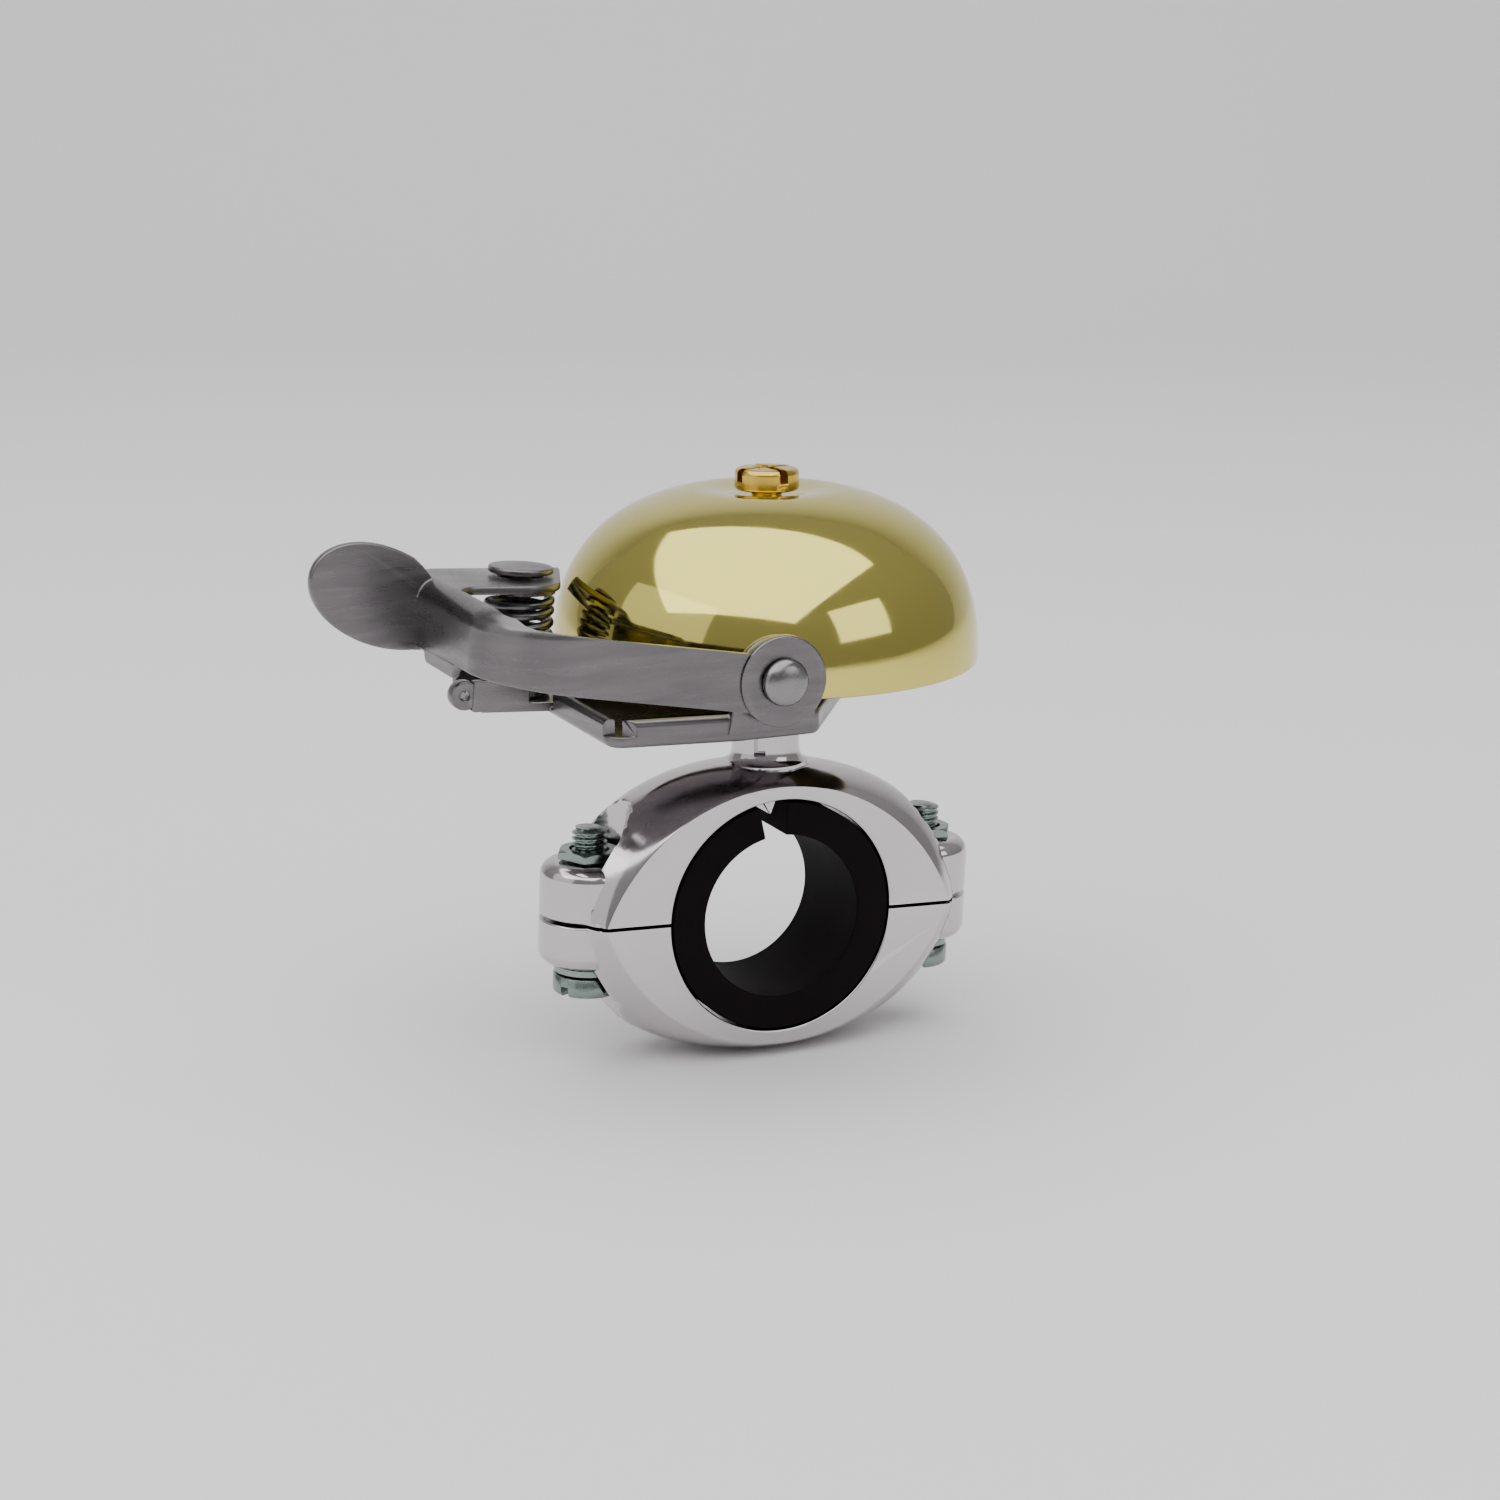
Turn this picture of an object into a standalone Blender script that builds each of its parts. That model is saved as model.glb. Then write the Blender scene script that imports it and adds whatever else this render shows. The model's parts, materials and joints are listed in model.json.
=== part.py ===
"""Bicycle bell with a thumb lever and a two-piece handlebar clamp.

Everything is laid out around the handlebar's axis, which runs along Y.  The thumb paddle points to -X,
the lever's arm passes the dome on the -Y side, and the whole layout hangs from one empty that puts the
frame's origin at the centre of the bell's footprint.
"""

import math

import bmesh
import bpy
from mathutils import Matrix, Vector

MM = 0.001
FIT_GAP = 0.3 * MM                  # clearance between pieces that touch on the real bell

# frame: where the handlebar's axis lies from the centre of the footprint
BAR_X = 14.95 * MM
BAR_Y = 2.75 * MM
BAR_Z = 19.75 * MM

# handlebar clamp
BAR_R = 11.1 * MM                   # 22.2 mm handlebar
BORE_R = 15.9 * MM                  # 31.8 mm clamp bore
CLAMP_WIDTH = 17.0 * MM
FACE_HALF_LENGTH = 25.0 * MM        # almond side face, at the split
FACE_HALF_HEIGHT = 17.7 * MM
BODY_HALF_LENGTH = 28.0 * MM        # fuller section halfway between the side faces
BODY_HALF_HEIGHT = 19.7 * MM
BODY_POWER = 2.25                   # exponent of that section's superellipse
BULGE_POWER = 0.85                  # how crisply the bulge leaves the side faces
CLAMP_TURN = math.radians(2.5)      # the clamp sits a little turned under the bell's head
SPLIT_GAP = 0.5 * MM
SPLIT_OVERRUN = 1.0 * MM            # how far a half runs past the split before it is sawn off
BOLT_X = 24.5 * MM
EAR_R = 6.5 * MM
EAR_TOP = 7.5 * MM
EAR_BOTTOM = -6.5 * MM
EAR_ROUND = 2.0 * MM
POCKET_R = 5.3 * MM
BOLT_R = 2.35 * MM
BOLT_HOLE_R = 2.65 * MM
BOLT_TOP = 11.9 * MM
BOLT_HEAD_R = 4.4 * MM
BOLT_HEAD_HEIGHT = 2.7 * MM
THREAD_PITCH = 0.8 * MM
THREAD_DEPTH = 0.4 * MM
LOCK_WASHER = 0.8 * MM
LOCK_WASHER_R = 4.3 * MM
NUT_R = 4.4 * MM                    # to the corners of the low hexagon nut in each pocket
NUT_HEIGHT = 1.2 * MM
SHIM_SLIT = math.radians(15.0)      # width of the rubber sleeve's slit
SHIM_SLIT_AT = math.radians(97.0)   # where the slit is, from +X towards +Z
TOOTH_HEIGHT = 2.2 * MM

# neck and bell head
HEAD_X = 1.4 * MM
NECK_R = 4.55 * MM
NECK_TOP = 29.65 * MM
STUD_R = 2.2 * MM
SHEET = 1.2 * MM
TRAY_BOTTOM = 29.95 * MM
TRAY_RIM = 33.4 * MM
POST_R = 3.4 * MM
POST_TOP = 52.6 * MM

# dome
DOME_R = 28.3 * MM
DOME_WALL = 1.3 * MM
DOME_RIM = 33.8 * MM
DOME_HEIGHT = 23.2 * MM
DOME_POWER = 2.5                    # exponent of the superellipse that the wall follows
DOME_FLAT = 1.5 * MM                # how much the crown is flattened under the screw
DOME_FLAT_R = 11.0 * MM
DOME_LEAN = math.radians(0.7)       # the dome leans a little away from the paddle
DOME_SCREW_R = 2.0 * MM
DOME_HEAD_R = 4.25 * MM
DOME_HEAD_HEIGHT = 3.0 * MM

# lever, in its own axes: the pivot is the origin and the yoke's plate lies level
PIVOT = Vector((-10.35, 0.0, 37.65)) * MM
LEVER_TILT = math.radians(4.0)      # how far the yoke rises towards the paddle
LEVER_SHEET = 1.1 * MM
ARM_FACE = -31.7 * MM               # outer face of the arm
ARM_BOTTOM = -4.35 * MM             # edges of the arm at the pivot
ARM_TOP = 2.95 * MM
ARM_SLOPE = 0.109                   # rise of both edges towards the yoke
YOKE_FRONT = -37.3 * MM
YOKE_FAR = 8.4 * MM
NEAR_CORNER = 11.0 * MM
FAR_CORNER = 5.0 * MM
BEND = 2.6 * MM                     # outer radius of the bend between plate and walls
WEB_TOP = 8.0 * MM
LIP_BOTTOM = 5.4 * MM
APRON_BOTTOM = -2.1 * MM
WAIST_BOTTOM = -0.8 * MM
OPENING_X = -34.7 * MM
OPENING_CORNER = 4.8 * MM           # its corner beside the yoke's near corner
WEB_NEAR = -8.0 * MM
WEB_END = -20.6 * MM                # where the web ends on its near side
NOSE_X = -15.4 * MM                 # tip of the nose, on its far side
EYE_R = 5.75 * MM
EYE_SWELL = 0.05 * MM               # the eye is coined a little thicker than the arm
PADDLE_X = -41.65 * MM              # the paddle is an egg, partly behind the yoke's front
PADDLE_FACE = -1.5 * MM
PADDLE_Z = 5.53 * MM
PADDLE_LENGTH = 10.17 * MM
PADDLE_HEIGHT = 6.24 * MM
PADDLE_EGG = 0.057
PADDLE_DROOP = math.radians(-21.1)
PADDLE_THICK = 1.4 * MM

# guide pin and return spring, in the lever's axes
PIN_X = -23.2 * MM
PIN_R = 1.5 * MM
PIN_HEAD_R = 4.2 * MM
PIN_HEAD_BOTTOM = 8.5 * MM
PIN_HEAD_THICK = 0.8 * MM
SEAT_Z = -7.3 * MM                  # top of the bracket's tongue along the pin
SEAT_HALF = 6.2 * MM
LUG_R = 1.9 * MM
CHEEK_HEIGHT = 2.9 * MM
SPRING_R = 3.95 * MM                # to the wire's centre line
WIRE_R = 0.62 * MM
SPRING_TURNS = 7.0
SEAT_THICK = 0.7 * MM
COLLAR_THICK = 0.6 * MM

bell = bpy.data.collections.new("bicycle_bell")
cutters = bpy.data.collections.new("cutters")


def clear_scene():
    for obj in list(bpy.data.objects):
        bpy.data.objects.remove(obj)


def material(name, colour, metallic, roughness):
    made = bpy.data.materials.new(name)
    made.use_nodes = True
    shader = made.node_tree.nodes["Principled BSDF"]
    shader.inputs["Base Color"].default_value = (*colour, 1.0)
    shader.inputs["Metallic"].default_value = metallic
    shader.inputs["Roughness"].default_value = roughness
    return made


def empty(name, location=(0, 0, 0), tilt=0.0, parent=None):
    made = bpy.data.objects.new(name, None)
    made.location = location
    made.rotation_euler = (0.0, tilt, 0.0)
    made.parent = parent
    bell.objects.link(made)
    return made


def place(name, mesh, parent, look=None, smooth=35.0):
    """Link a mesh as a finished piece, or as a cutter when it has no material."""
    mesh.name = name
    made = bpy.data.objects.new(name, mesh)
    made.parent = parent
    if look:
        mesh.materials.append(look)
        mesh.shade_smooth()
        mesh.set_sharp_from_angle(angle=math.radians(smooth))
        bell.objects.link(made)
    else:
        made.hide_render = True
        made.display_type = "WIRE"
        cutters.objects.link(made)
    return made


def mesh_from(bm):
    made = bpy.data.meshes.new("mesh")
    bmesh.ops.recalc_face_normals(bm, faces=bm.faces)
    bm.to_mesh(made)
    bm.free()
    return made


def box_mesh(low, high):
    bm = bmesh.new()
    low, high = Vector(low), Vector(high)
    size = high - low
    place_at = Matrix.Translation((low + high) / 2) @ Matrix.Diagonal((*size, 1.0))
    bmesh.ops.create_cube(bm, size=1.0, matrix=place_at)
    return mesh_from(bm)


def rod_mesh(radius, start, end, segments=32, end_radius=None):
    """A cylinder or cone between two points."""
    start, end = Vector(start), Vector(end)
    along = end - start
    turn = along.to_track_quat("Z", "Y").to_matrix().to_4x4()
    bm = bmesh.new()
    bmesh.ops.create_cone(
        bm, cap_ends=True, segments=segments, radius1=radius,
        radius2=radius if end_radius is None else end_radius, depth=along.length,
        matrix=Matrix.Translation((start + end) / 2) @ turn)
    return mesh_from(bm)


def turned_mesh(profile, segments=32, centre=(0.0, 0.0), closed=False):
    """Turn (radius, height) points about Z.  The points run down the outer side, top to bottom."""
    outline = bpy.data.meshes.new("profile")
    points = [(r, 0.0, z) for r, z in profile]
    edges = [(i, i + 1) for i in range(len(points) - 1)]
    if closed:
        edges.append((len(points) - 1, 0))
    outline.from_pydata(points, edges, [])
    spun = bpy.data.objects.new("spun", outline)
    bpy.context.scene.collection.objects.link(spun)
    screw = spun.modifiers.new("turn", "SCREW")
    screw.axis = "Z"
    screw.steps = screw.render_steps = segments
    screw.use_merge_vertices = True
    screw.merge_threshold = 0.00001
    bpy.context.view_layer.update()
    made = bpy.data.meshes.new_from_object(spun.evaluated_get(bpy.context.evaluated_depsgraph_get()))
    bpy.data.objects.remove(spun)
    made.transform(Matrix.Translation((*centre, 0.0)))
    return made


def plate_mesh(outline, low, high):
    """A flat outline in XY, filled and extruded from one height to the other."""
    curve = bpy.data.curves.new("outline", "CURVE")
    curve.dimensions = "2D"
    curve.fill_mode = "BOTH"
    curve.extrude = (high - low) / 2
    line = curve.splines.new("POLY")
    line.points.add(len(outline) - 1)
    for point, (x, y) in zip(line.points, outline):
        point.co = (x, y, 0.0, 1.0)
    line.use_cyclic_u = True
    flat = bpy.data.objects.new("flat", curve)
    bpy.context.scene.collection.objects.link(flat)
    bpy.context.view_layer.update()
    made = bpy.data.meshes.new_from_object(flat.evaluated_get(bpy.context.evaluated_depsgraph_get()))
    bpy.data.objects.remove(flat)
    bm = bmesh.new()
    bm.from_mesh(made)
    bmesh.ops.remove_doubles(bm, verts=bm.verts, dist=0.000001)
    bmesh.ops.recalc_face_normals(bm, faces=bm.faces)
    bm.to_mesh(made)
    bm.free()
    made.transform(Matrix.Translation((0.0, 0.0, (low + high) / 2)))
    return made


def upright(mesh):
    """Stand a plate that was drawn in XY up into the XZ plane; its thickness then runs along -Y."""
    mesh.transform(Matrix.Rotation(math.pi / 2, 4, "X"))
    return mesh


def endways(mesh):
    """Stand a plate that was drawn in XY up into the YZ plane; its thickness then runs along X."""
    mesh.transform(Matrix(((0, 0, 1, 0), (1, 0, 0, 0), (0, 1, 0, 0), (0, 0, 0, 1))))
    return mesh


def arc(centre, radius, start, end, steps):
    """Points on a circle between two angles in degrees."""
    angles = [math.radians(start + (end - start) * i / steps) for i in range(steps + 1)]
    return [(centre[0] + radius * math.cos(a), centre[1] + radius * math.sin(a)) for a in angles]


def rounded(corners, steps=4):
    """An outline whose corners, given as (x, y, radius), are rounded."""
    points = []
    count = len(corners)
    for i, (x, y, radius) in enumerate(corners):
        here = Vector((x, y))
        before = (Vector(corners[i - 1][:2]) - here).normalized()
        after = (Vector(corners[(i + 1) % count][:2]) - here).normalized()
        if radius <= 0.0:
            points.append((x, y))
            continue
        half = before.angle(after) / 2
        centre = here + (before + after).normalized() * (radius / math.sin(half))
        reach = radius / math.tan(half)
        first = here + before * reach - centre
        turn = first.angle_signed(here + after * reach - centre)
        for k in range(steps + 1):
            spoke = first.copy()
            spoke.rotate(Matrix.Rotation(-turn * k / steps, 2))
            points.append(tuple(centre + spoke))
    return points


def boolean(target, operation, other):
    step = target.modifiers.new(operation.lower(), "BOOLEAN")
    step.operation = operation
    step.solver = "EXACT"
    step.object = other


def cut(target, mesh, name="cut"):
    boolean(target, "DIFFERENCE", place(f"{target.name}_{name}", mesh, target.parent))


def join(target, mesh, name="joined"):
    boolean(target, "UNION", place(f"{target.name}_{name}", mesh, target.parent))


def edge_bevel(target, width, segments, angle=40.0):
    step = target.modifiers.new("bevel", "BEVEL")
    step.width = width
    step.segments = segments
    step.limit_method = "ANGLE"
    step.angle_limit = math.radians(angle)


def dome_point(angle, inset):
    """A point of the dome's wall; the angle runs from the crown, 90, down to the rim, 0."""
    across = (DOME_R - inset) * max(math.cos(angle), 0.0) ** (2 / DOME_POWER)
    up = (DOME_HEIGHT - inset) * max(math.sin(angle), 0.0) ** (2 / DOME_POWER)
    flat = DOME_FLAT * max(1.0 - (across / DOME_FLAT_R) ** 2, 0.0) ** 2
    return across, up - flat


def make_dome(dome_frame, look):
    hole = DOME_SCREW_R + 0.4 * MM
    steps = 14
    angles = [math.radians(90 - 90 * (i / steps) ** 0.9) for i in range(steps + 1)]
    outer = [dome_point(a, 0.0) for a in angles]
    inner = [dome_point(a, DOME_WALL) for a in reversed(angles)]
    outer[0] = (hole, outer[0][1])
    inner[-1] = (hole, inner[-1][1])
    mesh = turned_mesh(outer + inner, 56, closed=True)
    return place("bell_dome", mesh, dome_frame, look, smooth=50.0)


def make_dome_screw(dome_frame, look):
    crown = DOME_HEIGHT - DOME_FLAT * (1.0 - (DOME_HEAD_R / DOME_FLAT_R) ** 2) ** 2
    bottom = crown + 0.2 * MM
    top = bottom + DOME_HEAD_HEIGHT
    tip = POST_TOP - DOME_RIM - 6.0 * MM
    profile = [(0.0, top), (DOME_HEAD_R * 0.62, top - 0.15 * MM), (DOME_HEAD_R * 0.9, top - 0.7 * MM),
               (DOME_HEAD_R, top - 1.4 * MM), (DOME_HEAD_R, bottom), (DOME_SCREW_R, bottom),
               (DOME_SCREW_R, tip + 0.5 * MM), (DOME_SCREW_R * 0.75, tip), (0.0, tip)]
    screw = place("dome_screw", turned_mesh(profile, 24), dome_frame, look)
    reach, half, depth = 6.0 * MM, 0.55 * MM, 1.6 * MM
    for name, x, y in (("slot_x", reach, half), ("slot_y", half, reach)):
        cut(screw, box_mesh((-x, -y, top - depth), (x, y, top + 1.0 * MM)), name)
    return screw


def ring_mesh(inner, outer, low, high, segments=24, centre=(HEAD_X, 0.0)):
    profile = [(inner, high), (outer, high), (outer, low), (inner, low)]
    return turned_mesh(profile, segments, centre, closed=True)


def make_post(root, look):
    """Pillar that carries the dome; its stud goes through the bracket into the neck."""
    foot = TRAY_BOTTOM + SHEET + FIT_GAP + LOCK_WASHER + FIT_GAP
    profile = [(0.0, POST_TOP), (POST_R - 0.4 * MM, POST_TOP), (POST_R, POST_TOP - 0.4 * MM),
               (POST_R, foot + 4.0 * MM), (5.2 * MM, foot + 3.2 * MM), (5.2 * MM, foot),
               (STUD_R, foot), (STUD_R, NECK_TOP - 7.0 * MM), (0.0, NECK_TOP - 7.0 * MM)]
    post = place("dome_post", turned_mesh(profile, 24, (HEAD_X, 0.0)), root, look)
    bore = rod_mesh(DOME_SCREW_R + FIT_GAP, (HEAD_X, 0, POST_TOP - 8.0 * MM), (HEAD_X, 0, POST_TOP + MM), 24)
    cut(post, bore, "thread")
    return post


def tray_corners(inset):
    """Corners of the tray's outline, pulled in by inset; the -Y side carries the pivot's ear."""
    corners = [(-4.6, -29.5), (-15.0, -29.5), (-31.4, -26.7), (-31.4, 13.0), (-8.0, 14.5), (9.5, 9.0),
               (9.5, -9.0)]
    radii = [1.5, 6.0, 2.5, 4.0, 8.0, 5.0, 5.0]
    points = [Vector(c) * MM for c in corners]
    pulled_in = []
    for i, here in enumerate(points):
        before = (here - points[i - 1]).normalized()
        after = (points[(i + 1) % len(points)] - here).normalized()
        normal = Vector((before.y, -before.x)) + Vector((after.y, -after.x))
        shift = normal * (inset / (1.0 + before.dot(after)))
        pulled_in.append((*(here + shift), max(radii[i] * MM - inset, 0.3 * MM)))
    return pulled_in


def make_bracket(root, pin_frame, look):
    """Pressed steel tray under the dome, with the pivot's ear and the tongue that holds the pin."""
    outer = plate_mesh(rounded(tray_corners(0.0)), TRAY_BOTTOM, TRAY_RIM)
    bracket = place("base_bracket", outer, root, look)
    edge_bevel(bracket, 0.9 * MM, 2, angle=60.0)
    cut(bracket, plate_mesh(rounded(tray_corners(SHEET)), TRAY_BOTTOM + SHEET, TRAY_RIM + 5 * MM), "inside")
    notch = [(-34.0 * MM, -29.0 * MM), (-26.5 * MM, -29.0 * MM), (-29.9 * MM, -25.2 * MM),
             (-34.0 * MM, -23.0 * MM)]
    cut(bracket, plate_mesh(notch, TRAY_BOTTOM + 1.5 * MM, TRAY_RIM + MM), "relief")
    px, pz = PIVOT.x, PIVOT.z
    ear = arc((px, pz), 5.3 * MM, -10, 190, 12)
    ear += [(px - 6.5 * MM, TRAY_BOTTOM + 1.0 * MM), (px + 5.2 * MM, TRAY_BOTTOM + 1.0 * MM)]
    ear_face = -29.5 * MM
    join(bracket, upright(plate_mesh(ear, -ear_face - 1.15 * MM, -ear_face)), "ear")
    pivot_hole = rod_mesh(2.1 * MM, (px, ear_face - MM, pz), (px, ear_face + 3 * MM, pz), 20)
    cut(bracket, pivot_hole, "pivot_hole")
    stud_hole = rod_mesh(STUD_R + 0.4 * MM, (HEAD_X, 0, TRAY_BOTTOM - MM), (HEAD_X, 0, TRAY_RIM), 20)
    cut(bracket, stud_hole, "stud_hole")
    floor = TRAY_BOTTOM + SHEET
    cut(bracket, box_mesh((-35 * MM, -6.8 * MM, floor), (-29 * MM, 6.8 * MM, TRAY_RIM + MM)), "tongue_gap")
    low = SEAT_Z - SHEET
    side = SEAT_HALF
    wall = side - SHEET
    lug = Vector((PIN_X - 8.9 * MM, 0.0, SEAT_Z + 1.0 * MM))
    cheek_top = SEAT_Z + CHEEK_HEIGHT
    floor_plate = box_mesh((PIN_X - 6.6 * MM, -side, low), (PIN_X + 5.4 * MM, side, SEAT_Z))
    near = box_mesh((lug.x + MM, -side, low + 0.1 * MM), (PIN_X - 0.2 * MM, -wall, cheek_top))
    far = box_mesh((PIN_X - 6.4 * MM, wall, low + 0.1 * MM), (PIN_X - 0.2 * MM, side, cheek_top))
    curl = rod_mesh(LUG_R, (lug.x, -side + 0.05 * MM, lug.z), (lug.x, -wall + 0.6 * MM, lug.z), 20)
    curl_hole = rod_mesh(0.6 * MM, (lug.x, -7 * MM, lug.z), (lug.x, 7 * MM, lug.z), 12)
    pin_hole = rod_mesh(PIN_R + 0.35 * MM, (PIN_X, 0, low - 3 * MM), (PIN_X, 0, SEAT_Z + MM), 20)
    steps = [("UNION", floor_plate, "tongue"), ("UNION", near, "cheek_near"), ("UNION", far, "cheek_far"),
             ("UNION", curl, "curl"), ("DIFFERENCE", curl_hole, "curl_hole"),
             ("DIFFERENCE", pin_hole, "pin_hole")]
    for operation, mesh, name in steps:
        boolean(bracket, operation, place(f"bracket_{name}", mesh, pin_frame))
    return bracket


def lever_outline(inset):
    """Plan of the yoke and arm: a long near side and two round corners at the front."""
    near, front, far = ARM_FACE + inset, YOKE_FRONT + inset, YOKE_FAR - inset
    end = 12.0 * MM
    return rounded([(end, near, 0), (front, near, NEAR_CORNER - inset), (front, far, FAR_CORNER - inset),
                    (end, far, 0)], steps=8)


def top_bend(obj, radius):
    bend = obj.modifiers.new("top_bend", "BEVEL")
    bend.width = radius
    bend.segments = 4
    bend.limit_method = "ANGLE"
    bend.angle_limit = math.radians(60.0)


def paddle_outline():
    """The thumb paddle's egg, down to the short waist that turns into the yoke's front wall."""
    points = []
    steps = 44
    for i in range(steps):
        angle = 2 * math.pi * i / steps
        along = PADDLE_LENGTH * math.cos(angle)
        across = PADDLE_HEIGHT * (1.0 - PADDLE_EGG * math.cos(angle)) * math.sin(angle)
        x = PADDLE_X + along * math.cos(PADDLE_DROOP) - across * math.sin(PADDLE_DROOP)
        z = PADDLE_Z + along * math.sin(PADDLE_DROOP) + across * math.cos(PADDLE_DROOP)
        if x < YOKE_FRONT - 0.4 * MM:
            points.append((x, z))
    upper = [p for p in points if p[1] > PADDLE_Z + 2 * MM or p[0] < PADDLE_X - 5 * MM]
    start = points.index(upper[0])
    points = points[start:] + points[:start]
    inside = YOKE_FRONT + LEVER_SHEET - 0.3 * MM
    points += [(inside, -1.15 * MM), (inside, 5.2 * MM), (YOKE_FRONT + 2.0 * MM, 7.0 * MM),
               (YOKE_FRONT + 1.9 * MM, WEB_TOP - 0.2 * MM), (YOKE_FRONT + 0.5 * MM, WEB_TOP + 1.6 * MM)]
    return points


def make_lever(pivot, look):
    """One pressing: eye, arm, yoke, web with a striking nose, and the thumb paddle."""
    big = 60.0 * MM
    lever = place("lever", plate_mesh(lever_outline(0.0), ARM_BOTTOM - 4 * MM, WEB_TOP), pivot, look)
    top_bend(lever, BEND)
    inside = place("lever_inside", plate_mesh(lever_outline(LEVER_SHEET), ARM_BOTTOM - 6 * MM,
                                              WEB_TOP - LEVER_SHEET), pivot)
    top_bend(inside, BEND - LEVER_SHEET)
    boolean(lever, "DIFFERENCE", inside)
    below = [(big, ARM_BOTTOM), (0.0, ARM_BOTTOM), (-big, ARM_BOTTOM + ARM_SLOPE * big),
             (-big, -big), (big, -big)]
    cut(lever, upright(plate_mesh(below, -big, big)), "below")
    # the plate is open between the arm and the web, and past the nose
    arm_inside = ARM_FACE + BEND
    opening = rounded([
        (OPENING_X, WEB_NEAR, 3.0 * MM), (OPENING_X, arm_inside, OPENING_CORNER), (big, arm_inside, 0),
        (big, big, 0), (WEB_END - 4 * MM, big, 0), (WEB_END - 4 * MM, YOKE_FAR + 0.2 * MM, 0),
        (NOSE_X, YOKE_FAR + 0.2 * MM, 1.0 * MM), (NOSE_X, YOKE_FAR - 1.8 * MM, 0.8 * MM),
        (WEB_END, WEB_NEAR, 6.0 * MM)], steps=6)
    cut(lever, plate_mesh(opening, ARM_BOTTOM - 5 * MM, WEB_TOP + 3 * MM), "opening")
    # the front wall drops in a shallow tab next to the paddle
    wall_end = PADDLE_FACE + PADDLE_THICK - 0.1 * MM
    apron = rounded([
        (-19.0 * MM, 0.0, 0), (-16.5 * MM, -0.5 * MM, 2.0 * MM), (-15.2 * MM, APRON_BOTTOM, MM),
        (-5.0 * MM, APRON_BOTTOM, MM), (-4.2 * MM, WAIST_BOTTOM, 0.5 * MM),
        (wall_end, WAIST_BOTTOM, 0), (wall_end, 3.0 * MM, 0), (-19.0 * MM, 3.0 * MM, 0)])
    wall_low, wall_high = YOKE_FRONT + 0.04 * MM, YOKE_FRONT + LEVER_SHEET - 0.04 * MM
    join(lever, endways(plate_mesh(apron, wall_low, wall_high)), "apron")
    # the far side keeps only the bend as a short lip under the plate
    far = box_mesh((-big, PADDLE_FACE + PADDLE_THICK - 0.05 * MM, -big), (big, big, LIP_BOTTOM))
    cut(lever, far, "far_wall")
    # the arm's upper edge climbs slowly, then rounds up into the yoke
    side = [(big, ARM_TOP), (0.0, ARM_TOP)]
    side += [(x, ARM_TOP - ARM_SLOPE * x) for x in (-16 * MM, -31.5 * MM)]
    side += [(-33.0 * MM, 6.9 * MM), (-34.2 * MM, WEB_TOP), (-34.6 * MM, 12 * MM), (big, 12 * MM)]
    cut(lever, upright(plate_mesh(side, 12.0 * MM, 40 * MM)), "arm_top")
    cut(lever, box_mesh((-2.0 * MM, -big, -big), (big, big, big)), "arm_end")
    eye = rod_mesh(EYE_R, (0, ARM_FACE - EYE_SWELL, 0), (0, ARM_FACE + LEVER_SHEET + EYE_SWELL, 0), 32)
    join(lever, eye, "eye")
    cut(lever, rod_mesh(2.1 * MM, (0, ARM_FACE - MM, 0), (0, ARM_FACE + 3 * MM, 0), 20), "eye_hole")
    hole = [(x + PIN_X, y) for x, y in arc((0.9 * MM, 0), 2.1 * MM, -90, 90, 8)]
    hole += [(x + PIN_X, y) for x, y in arc((-0.9 * MM, 0), 2.1 * MM, 90, 270, 8)]
    cut(lever, plate_mesh(hole, 0.0, WEB_TOP + 3 * MM), "pin_slot")
    paddle = upright(plate_mesh(paddle_outline(), -PADDLE_FACE - PADDLE_THICK, -PADDLE_FACE))
    join(lever, paddle, "paddle")
    return lever


def make_rivet(root, look):
    """Pivot pin with a round head outside the lever's eye and a flush tail in the ear."""
    head_face = ARM_FACE - 0.25 * MM
    tail = -28.35 * MM
    length = tail - head_face
    dome = arc((0.0, 0.0), 2.75 * MM, 90, 0, 5)
    profile = [(r, 0.1 * MM + z * 0.62) for r, z in dome]
    profile += [(2.75 * MM, 0.0), (1.75 * MM, 0.0), (1.75 * MM, -length), (0.0, -length)]
    profile[0] = (0.0, profile[0][1])
    mesh = turned_mesh(profile, 24)
    mesh.transform(Matrix.Translation((PIVOT.x, head_face, PIVOT.z)) @ Matrix.Rotation(math.pi / 2, 4, "X"))
    return place("pivot_rivet", mesh, root, look)


def make_pivot_washer(root, look):
    mesh = ring_mesh(2.05 * MM, 4.2 * MM, 0.0, 0.5 * MM, 24, (0.0, 0.0))
    place_at = Matrix.Translation((PIVOT.x, -29.75 * MM, PIVOT.z))
    mesh.transform(place_at @ Matrix.Rotation(math.pi / 2, 4, "X"))
    return place("pivot_washer", mesh, root, look)


def make_pin(pin_frame, look):
    low = SEAT_Z - SHEET - FIT_GAP
    top = PIN_HEAD_BOTTOM + PIN_HEAD_THICK
    profile = [(0.0, top), (PIN_HEAD_R - 0.3 * MM, top), (PIN_HEAD_R, top - 0.25 * MM),
               (PIN_HEAD_R, PIN_HEAD_BOTTOM), (PIN_R, PIN_HEAD_BOTTOM), (PIN_R, low), (2.4 * MM, low),
               (2.2 * MM, low - 0.4 * MM), (1.2 * MM, low - 0.75 * MM), (0.0, low - 0.8 * MM)]
    return place("guide_pin", turned_mesh(profile, 24, (PIN_X, 0.0)), pin_frame, look)


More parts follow.
